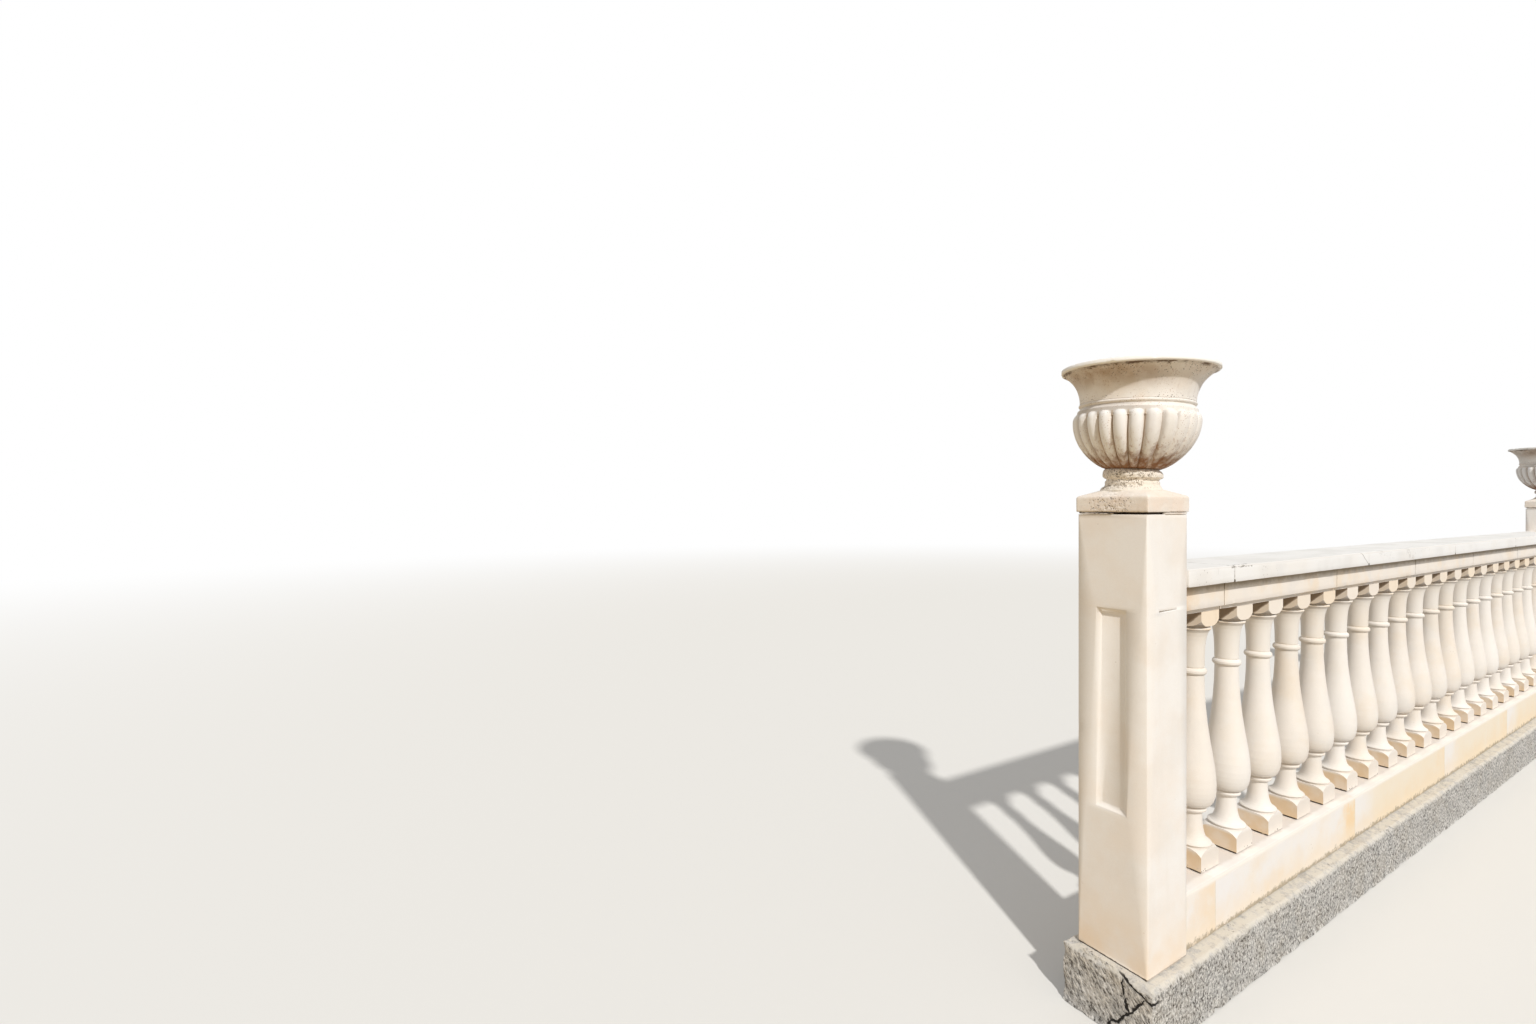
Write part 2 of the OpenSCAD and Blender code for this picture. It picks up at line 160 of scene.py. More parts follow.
class Graph:
    """The shader nodes of one material or of the world."""

    def __init__(self, owner: bpy.types.Material | bpy.types.World) -> None:
        """Takes over the owner's node tree, emptied.

        Args:
            owner: The material or world.
        """
        owner.use_nodes = True
        self.tree = owner.node_tree
        self.tree.nodes.clear()

    def add(self, kind: str, inputs: dict | None = None, **settings) -> bpy.types.Node:
        """Adds one node.

        Args:
            kind: The node's type, without the ShaderNode before it.
            inputs: Fields, sockets, numbers or sRGB hex for its inputs, by name or number.
            **settings: Properties of the node itself.

        Returns:
            The new node.
        """
        node = self.tree.nodes.new(f"ShaderNode{kind}")
        for key, value in settings.items():
            setattr(node, key, value)
        for key, value in (inputs or {}).items():
            if isinstance(value, Field):
                value = value.socket
            if isinstance(value, bpy.types.NodeSocket):
                self.tree.links.new(value, node.inputs[key])
            else:
                node.inputs[key].default_value = linear(value) if isinstance(value, str) else value
        return node

    def value(self, kind: str, inputs: dict, output: int | str = 0, **settings) -> Field:
        """Adds one node and takes a number from it.

        Args:
            kind: The node's type.
            inputs: What its inputs take.
            output: The wanted output, by name or number.
            **settings: Properties of the node itself.

        Returns:
            The number.
        """
        return Field(self, self.add(kind, inputs, **settings).outputs[output])

    def mix(self, share: "Field | float", below: bpy.types.NodeSocket | str,
            above: bpy.types.NodeSocket | str) -> bpy.types.NodeSocket:
        """Lays one colour over another.

        Args:
            share: How much of the upper colour shows.
            below: Colour socket or sRGB hex.
            above: Colour socket or sRGB hex.

        Returns:
            A colour socket.
        """
        return self.add("Mix", {0: share, 6: below, 7: above}, data_type="RGBA").outputs[2]


class Painter(Graph):
    """Paints one stone material, on Object coordinates and in real sizes."""

    def __init__(self, name: str, colour: str) -> None:
        """Starts a material with one Principled shader.

        Args:
            name: The material's name, after the real finish.
            colour: The stone's own colour in sRGB hex.
        """
        self.material = bpy.data.materials.new(name)
        super().__init__(self.material)
        self.shader = self.add("BsdfPrincipled", {"Metallic": 0.0, "IOR": 1.5})
        self.add("OutputMaterial", {"Surface": self.shader.outputs[0]})
        self.place = self.add("TexCoord").outputs["Object"]
        self.x, self.y, self.z = self.axes(self.place)
        self.out_x, self.out_y, self.out_z = self.axes(self.add("NewGeometry").outputs["Normal"])
        self.colour: bpy.types.NodeSocket | str = colour
        self.height: Field | None = None

    def axes(self, vector: bpy.types.NodeSocket) -> list[Field]:
        """X, Y and Z of a vector socket."""
        return [Field(self, part) for part in self.add("SeparateXYZ", {0: vector}).outputs]

    def moved(self, stretch: Triple, shift: Triple) -> bpy.types.NodeSocket:
        """The place, scaled along the axes and shifted."""
        return self.add("Mapping", {"Vector": self.place, "Location": shift, "Scale": stretch}).outputs[0]

    def cloud(self, size_mm: float, detail: float = 3, rough: float = 0.55,
              stretch: Triple = (1, 1, 1), shift: Triple = (0, 0, 0)) -> Field:
        """Soft noise.

        Args:
            size_mm: Size of its largest features.
            detail: How many finer layers it has.
            rough: How strong those are.
            stretch: Factors along the axes. A small one draws the pattern out.
            shift: Metres to shift by.

        Returns:
            A field around 0.5.
        """
        return self.value("TexNoise", {
            "Vector": self.moved(stretch, shift), "Scale": 1 / (size_mm * MM),
            "Detail": detail, "Roughness": rough})

    def waver(self, size_mm: float, depth: float, detail: float = 3, rough: float = 0.55,
              shift: Triple = (0, 0, 0)) -> Field:
        """Soft noise that swings to both sides of nothing, to make an edge ragged.

        Args:
            size_mm: Size of its largest features.
            depth: Twice the most that it swings.
            detail: How many finer layers it has.
            rough: How strong those are.
            shift: Metres to shift by.

        Returns:
            A field around 0.
        """
        return (self.cloud(size_mm, detail, rough, shift=shift) - 0.5) * depth

    def cells(self, size_mm: float, feature: str = "F1", shift: Triple = (0, 0, 0),
              stretch: Triple = (1, 1, 1)) -> Field:
        """Distance from scattered points, or from the cracks between them.

        Args:
            size_mm: Mean spacing of the points.
            feature: "F1" for points, "DISTANCE_TO_EDGE" for cracks.
            shift: Metres to shift by.
            stretch: Factors along the axes.

        Returns:
            A field in spacings.
        """
        return self.value("TexVoronoi", {
            "Vector": self.moved(stretch, shift), "Scale": 1 / (size_mm * MM)}, "Distance", feature=feature)

    def coat(self, share: Field, colour: bpy.types.NodeSocket | str) -> None:
        """Lays a colour over what is painted so far, in the share that it takes."""
        self.colour = self.mix(share, self.colour, colour)

    def finish(self, relief_mm: float, roughness: float) -> bpy.types.Material:
        """Ends the material.

        Args:
            relief_mm: What 1 of the painter's height is in millimetres.
            roughness: Roughness of the surface.

        Returns:
            The material.
        """
        bump = self.add("Bump", {"Height": self.height, "Distance": relief_mm * MM, "Strength": 1.0})
        self.tree.links.new(bump.outputs[0], self.shader.inputs["Normal"])
        self.tree.links.new(self.colour, self.shader.inputs["Base Color"])
        self.shader.inputs["Roughness"].default_value = roughness
        return self.material


@dataclass(frozen=True)
class CastStone:
    """Cast stone: cement and pale stone dust, smooth from the mould, mottled by weather."""

    name: str = "cast_stone"
    slot: str = "shaft_stone"
    base: str = "F4ECE0"
    warm: str = "EFDCC0"
    cool: str = "E4DFD4"
    speck: str = "A8947A"
    patch_mm: float = 210.0
    warm_share: float = 0.55
    cool_share: float = 0.5
    grain_mm: float = 2.6
    grain: float = 0.10
    pit_mm: float = 16.0
    pit_r: float = 0.10
    pit_spread: Pair = (0.62, 0.78)
    relief_mm: float = 0.5
    roughness: float = 0.85

    def paint(self) -> bpy.types.Material:
        """Builds the material.

        Returns:
            The finished material.
        """
        p = Painter(self.name, self.base)
        self.ground(p)
        self.weather(p)
        return p.finish(self.relief_mm, self.roughness)

    def ground(self, p: Painter) -> None:
        """Mottling, grain and pits that every one of these stones has.

        Args:
            p: The material's painter.
        """
        p.coat(p.cloud(self.patch_mm, 4).span(0.42, 0.66, (0, self.warm_share)), self.warm)
        cool = p.cloud(self.patch_mm * 0.7, 4, shift=(3, 1, 2))
        p.coat(cool.span(0.45, 0.68, (0, self.cool_share)), self.cool)
        grain = p.cloud(self.grain_mm, 4, 0.7)
        p.coat(grain.span(0.3, 0.75, (0, self.grain)), self.speck)
        where = p.cloud(140, 2, shift=(7, 5, 1)).span(*self.pit_spread)
        pits = where * p.cells(self.pit_mm).span(self.pit_r * 0.6, self.pit_r * 1.4, (1, 0))
        p.coat(pits * 0.8, self.speck)
        p.height = grain * 0.5 - pits

    def weather(self, p: Painter) -> None:
        """Adds what only this stone has: nothing on the plain one."""


@dataclass(frozen=True)
class CourseStone(CastStone):
    """Cast stones laid in a course, with joints at even steps."""

    joints: Pair = (0.0, 1.0)

    def along(self, p: Painter) -> tuple[Field, Field]:
        """Where a place lies along its course.

        Args:
            p: The material's painter.

        Returns:
            How far it is into the bay, and how far past the nearest joint.
        """
        first, length = self.joints
        in_bay = (p.x - FIRST_X) % BAY_PITCH
        return in_bay, (in_bay - (first - length / 2)) % length - length / 2


@dataclass(frozen=True)
class ShaftStone(CastStone):
    """Pillar shafts: the smoothest casting, with a peach foot, faint drips and a cracked bedding line."""

    name: str = "pillar_shaft_cast_stone"
    base: str = "F9F6F3"
    warm: str = "F3E2D0"
    cool: str = "ECE6DF"
    foot: str = "F2D2A8"
    crack: str = "35291E"
    warm_share: float = 0.36
    cool_share: float = 0.35
    grain: float = 0.06
    tinted_h: float = 0.26

    def weather(self, p: Painter) -> None:
        """Tints the foot, lets faint drips run down and darkens the crack over the footing.

        Args:
            p: The material's painter.
        """
        low = p.z.span(FOOTING_TOP, FOOTING_TOP + self.tinted_h, (0.55, 0))
        p.coat(low * p.cloud(120, 3, shift=(2, 9, 4)).span(0.3, 0.62, (0.35, 0.9)), self.foot)
        p.coat(p.cloud(36, 3, stretch=(1, 1, 0.08)).span(0.54, 0.74, (0, 0.16)), self.cool)
        edge = p.z + p.cloud(9, 3) * -0.004
        crack = edge.span(FOOTING_TOP + 0.0004, FOOTING_TOP + 0.0026, (0.95, 0))
        p.coat(crack * p.out_x.span(-0.3, -0.8, (0.45, 1)), self.crack)


@dataclass(frozen=True)
class PittedStone(CastStone):
    """Capping stones and urn stems: the open face of a coarse casting, full of pits.

    The capping stones are pinkish. The stems carry a pale crust with black algae.
    """

    name: str = "pitted_cast_stone"
    slot: str = "pitted_stone"
    base: str = "F9F1E8"
    warm: str = "F0D7C1"
    cool: str = "F1E9DF"
    speck: str = "7A6350"
    pocked: str = "EAD9CB"
    grime: str = "8C7C6B"
    crust: str = "F1E9DC"
    algae: str = "4C3F33"
    soot: str = "2B1E14"
    patch_mm: float = 90.0
    warm_share: float = 0.45
    grain: float = 0.12
    pit_mm: float = 9.0
    pit_r: float = 0.17
    pit_spread: Pair = (0.5, 0.66)
    relief_mm: float = 1.0
    roughness: float = 0.9
    joint_top: float = 1.356
    pillar_w: float = 0.190
    bared: Triple = (-4.853, 0.001, 1.373)

    def weather(self, p: Painter) -> None:
        """Crusts and specks the stem, and blackens the raked-out joint.

        Args:
            p: The material's painter.
        """
        stem = p.z.span(CAP_TOP - 0.004, CAP_TOP + 0.006)
        patch = p.cloud(26, 4, 0.6, shift=(2, 2, 7))
        crust = p.z.span(CAP_TOP - 0.022, CAP_TOP + 0.004)
        p.coat(crust * patch.span(0.34, 0.56, (0.25, 0.95)), self.crust)
        shady = p.out_x.span(0.1, -0.7, (0.12, 1))
        grimy = p.cloud(7, 4, 0.7, shift=(3, 8, 8)).span(0.49, 0.60) * patch.span(0.40, 0.52)
        p.coat(grimy * stem * shady * 0.7, self.grime)
        spots = p.cells(4.8, shift=(1, 6, 2)).span(0.22, 0.40, (1, 0))
        dots = spots * p.cloud(20, 4, 0.6, shift=(6, 4, 4)).span(0.40, 0.54) * stem * shady
        p.coat(dots * 0.85, self.algae)
        away = p.value("VectorMath", {0: p.place, 1: self.bared}, "Value", operation="DISTANCE")
        bare = (away + p.waver(18, 0.05, 4, 0.7, shift=(5, 2, 2))).span(0.064, 0.044)
        bare *= p.z.span(self.joint_top + 0.044, self.joint_top + 0.036)
        p.coat(bare * patch.span(0.3, 0.6, (0.1, 0.45)), self.pocked)
        pores = bare * (spots * p.cloud(9, 2, shift=(8, 3, 1)).span(0.46, 0.56))
        p.coat(pores * 0.7, self.algae)
        from_pillar = (p.x + BAY_PITCH / 2) % BAY_PITCH - BAY_PITCH / 2
        ragged = p.z + p.cloud(16, 4, 0.7, shift=(4, 1, 3)) * 0.006 - 0.003
        joint = ragged.span(self.joint_top - 0.0004, self.joint_top + 0.0008, (1, 0))
        joint *= (abs(from_pillar) | abs(p.y)).span(self.pillar_w / 2 - 0.0022, self.pillar_w / 2 - 0.0032)
        line = abs(ragged - (self.joint_top - 0.0014)).span(0.0015, 0.0028, (1, 0))
        line *= p.cloud(30, 3, shift=(7, 7, 1)).span(0.34, 0.54, (0.4, 1))
        p.coat(line * p.out_x.span(-0.3, -0.8, (0.32, 0.95)), self.soot)
        p.coat(joint, self.soot)
        p.height -= dots * 0.5 + pores * 1.6


@dataclass(frozen=True)
class Gadroons:
    """The gadroons round a bowl: how many, how they are turned, and where the weather has washed them out."""

    count: int = 24
    turn_deg: float = -6.5
    washed_deg: float = -82.0
    height: float = 0.148
    end_h: float = 0.018


@dataclass(frozen=True)
class UrnStone(CastStone):
    """Urn bowls: off-white casting with a clean lip, stained below it and browned in the low gadroons."""

    name: str = "urn_cast_stone"
    slot: str = "urn_stone"
    base: str = "FAF6F2"
    warm: str = "EFE2D4"
    cool: str = "EEEBE6"
    clean: str = "FDFBF8"
    stain: str = "C3A27C"
    shade: str = "94714C"
    brown: str = "82501A"
    line: str = "5A4029"
    algae: str = "3F3023"
    rust: str = "9A6B40"
    painted_shade_grey: str = "BDB6B0"
    crest: str = "FBFAFA"
    valley: str = "B39A7E"
    patch_mm: float = 100.0
    ribs: Gadroons = Gadroons()
    lean: Pair = (0.0218, -0.0378)
    under: float = 0.053
    bead: float = 0.229
    lip: float = 0.312

    def across(self, p: Painter) -> tuple[Field, Field, Field]:
        """Where a place lies on its urn, also on the leaning one.

        Args:
            p: The material's painter.

        Returns:
            Its height over the capping stone along the urn's own axis, how far it is from a gadroon's
            crest, 0 to 1, and how little the weather has washed the gadroons out there, 0 to 1.
        """
        near = p.x.step("LESS_THAN", -BAY_PITCH / 2)
        h = p.z - CAP_TOP + near * ((p.x + BAY_PITCH) * self.lean[0] + p.y * self.lean[1])
        off_x, off_y = (near * h * lean for lean in self.lean)
        from_pillar = (p.x + BAY_PITCH * 1.5) % BAY_PITCH - BAY_PITCH / 2
        angle = (p.y - off_y).step("ARCTAN2", from_pillar - off_x)
        turned = (angle - math.radians(self.ribs.turn_deg)) * (self.ribs.count / math.tau)
        away = abs(angle - math.radians(self.ribs.washed_deg))
        kept = away.step("MINIMUM", math.tau - away).span(math.radians(36), math.radians(64))
        return h, abs(turned.step("FRACT") * 2.0 - 1.0), kept

    def weather(self, p: Painter) -> None:
        """Stains the neck, browns the bowl from below and specks it under the lip and over the bead. Paints
        shade on the sides facing away from the lamp and highlights on the gadroons' crests, and darkens their
        valleys with grime and painted shade.

        Args:
            p: The material's painter.
        """
        h, aside, kept = self.across(p)
        under, bead, lip = self.under, self.bead, self.lip
        ends = under + self.ribs.height
        ribbed = kept * (h.span(under + 0.004, under + 0.012) * h.span(ends + 0.001, ends - 0.006))
        # Painted shade: grey on the bowl's sides that face away from the lamp.
        painted_shade_grey = p.out_x.span(-0.5, -0.92) * h.span(bead, bead - 0.012)
        p.coat(painted_shade_grey * 0.7, self.painted_shade_grey)
        # Painted highlight on the gadroons' crests.
        p.coat(ribbed * aside.span(0.85, 0.35, (0.2, 0.95)), self.crest)
        # Darker valleys: partly grime, partly painted shade in the creases.
        p.coat(ribbed * aside.span(0.82, 0.97, (0, 0.68)), self.valley)
        blotch = p.cloud(34, 4, 0.62, shift=(2, 5, 1))
        p.coat(h.span(bead + 0.020, lip - 0.004) * blotch.span(0.36, 0.62, (0.03, 0.18)), self.stain)
        # Painted shade on the neck's sides that face away from the lamp.
        dim = h.span(bead + 0.010, lip - 0.012) * p.out_x.span(-0.25, -0.8)
        p.coat(dim * blotch.span(0.34, 0.58, (0.50, 0.68)), self.shade)
        drips = p.cloud(8, 3, stretch=(1, 1, 0.05), shift=(3, 0, 6)).span(0.62, 0.72, (0, 0.5))
        p.coat(drips * h.span(lip - 0.045, lip - 0.010), self.brown)
        streak = p.cloud(13, 4, 0.6, stretch=(1, 1, 0.10), shift=(1, 3, 0)).span(0.57, 0.70, (0, 0.20))
        streak *= h.span(bead, lip - 0.01, (0.3, 1))
        p.coat(streak * h.span(under + 0.03, bead), self.brown)
        run = p.cloud(20, 4, 0.62, stretch=(1, 1, 0.3), shift=(1, 4, 2))
        p.coat((h + run * -0.13).span(under - 0.073, under - 0.001, (1, 0)) * 0.95, self.brown)
        grime = p.cloud(9, 4, 0.7, stretch=(1, 1, 0.45), shift=(6, 1, 1)).span(0.52, 0.64, (0, 0.7))
        grime = h.span(under + 0.115, under + 0.02) * grime
        p.coat(grime * aside.span(0.05, 0.35, (0.25, 1)), self.rust)
        dust = p.cells(5.0, shift=(3, 1, 5)).span(0.14, 0.28, (1, 0))
        p.coat(dust * p.cloud(48, 3, shift=(1, 7, 2)).span(0.46, 0.62, (0, 0.6)), self.rust)
        ragged = h + p.cloud(11, 4, 0.7, shift=(0, 0, 4)) * 0.018
        line = ragged.span(lip + 0.003, lip + 0.007, (0, 0.9)) * h.span(lip + 0.001, lip - 0.0005)
        p.coat(line * p.cloud(42, 3, shift=(9, 2, 3)).span(0.40, 0.58, (0.25, 1)), self.line)
        over_bead = h.span(bead - 0.002, bead + 0.001) * h.span(bead + 0.016, bead + 0.004)
        specks = p.cells(6.0, shift=(5, 2, 0)).span(0.16, 0.3, (1, 0))
        specks *= p.cloud(50, 3, shift=(4, 4, 4)).span(0.43, 0.53)
        p.coat(specks * (over_bead | h.span(lip - 0.05, lip - 0.006)) * 0.8, self.algae)
        p.coat(h.span(lip - 0.0002, lip + 0.0012), self.clean)
        p.height -= specks * 0.4


@dataclass(frozen=True)
class BalusterStone(CastStone):
    """Balusters: cream castings, each a little different, some with a mould seam down them."""

    name: str = "baluster_cast_stone"
    slot: str = "baluster_stone"
    base: str = "F4EDE5"
    warm: str = "EEDDC6"
    cool: str = "E9E5DF"
    pale: str = "F8F4EF"
    worn: str = "E9DED2"
    neck: str = "EBE5DC"
    painted_shadow: str = "654A28"
    dirt_and_painted_shade: str = "3E3022"
    painted_warm_bounce: str = "E2BE88"
    straw: str = "F8E5CB"
    patch_mm: float = 150.0
    warm_share: float = 0.45
    cool_share: float = 0.4
    grain: float = 0.07
    pitch: float = 4.568 / 22
    row_y: float = -0.005
    joint_h: float = 0.003
    block_h: float = 0.062
    neck_z: float = 0.90
    head_z: float = 1.013
    head_top: float = 1.070
    head_y: float = -0.060
    sun_slope: float = 0.957

    def weather(self, p: Painter) -> None:
        """Tints each casting, draws seams, darkens joints with painted shade beside them on the shady sides,
        and paints shade on the necks, the rail's shadow and shade under the heads, and warm bounce light on
        the shady sides.

        Args:
            p: The material's painter.
        """
        z, foot_z = p.z, CURB_TOP
        along = p.x - (FIRST_X - self.pitch / 2)
        count = (along / self.pitch).step("FLOOR")
        own_x = along % BAY_PITCH % self.pitch - self.pitch / 2
        own, other = (p.value("TexWhiteNoise", {"W": seed}, noise_dimensions="1D")
                      for seed in (count, count + 57.0))
        p.coat(own.span(0.45, 1.0, (0, 0.5)), self.pale)
        p.coat(own.span(0.5, 0.0, (0, 0.08)), self.warm)
        turn = (p.y - self.row_y).step("ARCTAN2", own_x)
        seam = abs(turn - (other * 1.6 + -2.4)).span(0.02, 0.05, (1, 0)) * other.span(0.45, 0.5)
        seam *= z.span(foot_z + 0.07, foot_z + 0.09)
        p.coat(seam * 0.3, self.speck)
        foot = z.span(foot_z + self.block_h, foot_z + 0.05)
        front = p.out_y.span(-0.7, -0.95)
        p.coat(front * foot * 0.6, self.worn)
        # Painted shade: the upper necks under the rail are darkened a little all round.
        neck = z.span(self.neck_z - 0.01, self.neck_z + 0.02) * z.span(self.neck_z + 0.14, self.neck_z + 0.1)
        p.coat(neck * 0.35, self.neck)
        # Painted warm bounce light: the feet's sides that face away from the lamp are tinted warm.
        side = p.out_x.span(-0.75, -0.95) * foot
        p.coat(side * p.cloud(60, 3, shift=(9, 0, 2)).span(0.3, 0.6, (0.42, 0.70)), self.painted_warm_bounce)
        head = z.span(self.head_z - 0.001, self.head_z + 0.001)
        p.coat(head * (front * other.span(0.0, 1.0, (0.25, 0.8))), self.straw)
        # Painted warm bounce light on the heads' shady sides too.
        p.coat(head * p.out_x.span(-0.6, -0.9, (0, 0.26)), self.painted_warm_bounce)
        bed_z = foot_z + self.joint_h
        shady = p.out_x.span(-0.6, -0.9)
        # A dark bedding joint, and on the sides away from the lamp a wider line of painted shade above it.
        joint = z.span(bed_z - 0.0002, bed_z + 0.0003, (1, 0))
        joint = joint | shady * z.span(bed_z + 0.0024, bed_z + 0.0014)
        p.coat(joint * p.cloud(14, 3, shift=(0, 3, 5)).span(0.30, 0.44, (0.35, 1)), self.dirt_and_painted_shade)
        # Painted shadow: the bed's shadow on the heads' shady sides, its edge along the lamp's slope, and
        # painted shade under the heads.
        bed_shadow_edge = z - self.head_top + (p.y - self.head_y) * self.sun_slope + p.waver(12, 0.006, shift=(6, 2, 2))
        painted_shadow_mask = bed_shadow_edge.span(-0.003, 0.003) * shady | p.out_z.span(-0.35, -0.8, (0, 0.7))
        p.coat(painted_shadow_mask * z.span(self.head_z - 0.010, self.head_z - 0.002) * 0.78, self.painted_shadow)
        chips = p.cells(11.0, shift=(2, 8, 1)).span(0.2, 0.34, (1, 0))
        chips *= z.span(foot_z + 0.016, foot_z + 0.005)
        p.coat(chips * p.cloud(70, 2, shift=(5, 5, 0)).span(0.5, 0.56) * 0.8, self.dirt_and_painted_shade)
        p.height -= seam * 0.8


@dataclass(frozen=True)
class BedStone(CourseStone):
    """Lower stones of the rail: cream, with peach stains beside the pillars and thin dark joints."""

    name: str = "rail_bed_cast_stone"
    slot: str = "rail_bed_stone"
    base: str = "F7EFE6"
    warm: str = "F3DCBB"
    cool: str = "EDE8E3"
    peach: str = "E6BF90"
    dirt_and_painted_shade: str = "8D7C62"
    patch_mm: float = 120.0
    warm_share: float = 0.4
    cool_share: float = 0.6
    grain: float = 0.07
    joints: Pair = BED_STONES

    def weather(self, p: Painter) -> None:
        """Stains the stone peach where it meets a pillar, paints the coping's shadow under the coping and
        darkens its joints, more in that painted shadow.

        Args:
            p: The material's painter.
        """
        in_bay, side = self.along(p)
        near = in_bay + p.cloud(60, 3, shift=(3, 3, 0)) * 0.12
        p.coat(near.span(0.10, 0.17, (0.6, 0)), self.peach)
        # Painted shadow: darker just under the coping, where the coping's shadow falls.
        high = p.z + p.cloud(20, 4, 0.6, shift=(4, 4, 1)) * 0.012
        p.coat(high.span(BED_TOP - 0.022, BED_TOP - 0.002, (0, 0.8)), self.dirt_and_painted_shade)
        # Dark joints, painted darker still within the coping's shadow band.
        joint = abs(side).span(0.0032, 0.0018) * p.cloud(50, 3, shift=(6, 1, 1)).span(0.36, 0.56, (0.4, 0.95))
        p.coat(joint * high.span(BED_TOP - 0.045, BED_TOP - 0.015, (0.4, 1)), self.dirt_and_painted_shade)


@dataclass(frozen=True)
class CurbStone(CourseStone):
    """Curb: cream stones with yellow and chalky stains, filled joints and a scuffed top arris whose rounding
    has painted shade against its highlight.
    """

    name: str = "curb_cast_stone"
    slot: str = "curb_stone"
    base: str = "F9F3EC"
    warm: str = "F3D7AE"
    cool: str = "F5F3F3"
    bright: str = "EEE6DC"
    top: str = "F7F1EB"
    painted_arris_shade: str = "E7E0D8"
    tread: str = "E5DAD0"
    fill: str = "CDB48E"
    soil: str = "AB9E88"
    ochre: str = "F8D8AA"
    cream: str = "F4E5CB"
    patch_mm: float = 170.0
    warm_share: float = 0.30
    grain: float = 0.07
    pit_spread: Pair = (0.54, 0.7)
    joints: Pair = (0.172, 1.0)
    stain_z: float = 0.268
    tread_y: float = -0.058

    def weather(self, p: Painter) -> None:
        """Stains both sides of the joints, fills them, brightens the scuffed top, paints shade on the rounded
        top arris and dirties the foot.

        Args:
            p: The material's painter.
        """
        in_bay, side = self.along(p)
        off = abs(side) + p.waver(12, 0.004)
        far = in_bay + p.cloud(300, 3, shift=(5, 0, 5)) * 0.5
        p.coat(far.span(1.25, 1.65, (0, 0.72)), self.cream)
        reach = side + abs(p.z - self.stain_z).span(0.055, 0.0, (0, 0.05))
        reach += p.waver(60, 0.16, shift=(0, 6, 2))
        stain = reach.span(-0.115, -0.025) * side.span(0.010, -0.008)
        stain *= p.cloud(45, 3, shift=(1, 6, 3)).span(0.32, 0.58, (0.35, 0.85))
        stain *= abs(in_bay - sum(self.joints)).span(0.5, 0.3, (0.4, 1))
        p.coat(stain * p.z.span(FOOTING_TOP + 0.03, FOOTING_TOP + 0.08, (0.4, 1)), self.ochre)
        faded = side + p.waver(60, 0.12, shift=(8, 2, 2))
        p.coat(side.span(-0.003, 0.003) * faded.span(0.24, 0.06) * 0.7, self.cool)
        low = p.z + p.waver(80, 0.12, shift=(4, 0, 4))
        p.coat(low.span(CURB_TOP - 0.03, FOOTING_TOP + 0.01, (0, 0.40)), self.warm)
        joint = off.span(0.0026, 0.0012)
        p.coat(joint * 0.2, self.fill)
        up = p.out_z.span(0.5, 0.9, (0, 0.8))
        p.coat(up, self.top)
        # The top is darker from the balusters' front line backwards.
        back = p.y + p.waver(50, 0.03, 4, 0.6, shift=(3, 9, 0))
        p.coat(up * back.span(self.tread_y - 0.007, self.tread_y + 0.007), self.tread)
        # Painted shade: the rounded top arris is darkened against its highlight.
        p.coat(p.out_z.span(0.1, 0.4) * p.out_z.span(0.99, 0.85) * 0.85, self.painted_arris_shade)
        scuff = p.z.span(CURB_TOP - 0.016, CURB_TOP - 0.003)
        scuff *= p.cloud(70, 4, 0.6, shift=(6, 0, 1)).span(0.36, 0.6, (0.35, 1))
        p.coat(scuff * up.span(0.7, 0.3), self.bright)
        rise = p.z + p.cloud(18, 4, 0.7, shift=(1, 8, 3)) * -0.06
        p.coat(rise.span(FOOTING_TOP - 0.026, FOOTING_TOP - 0.011, (0.85, 0)), self.soil)
        p.height -= joint * 0.8


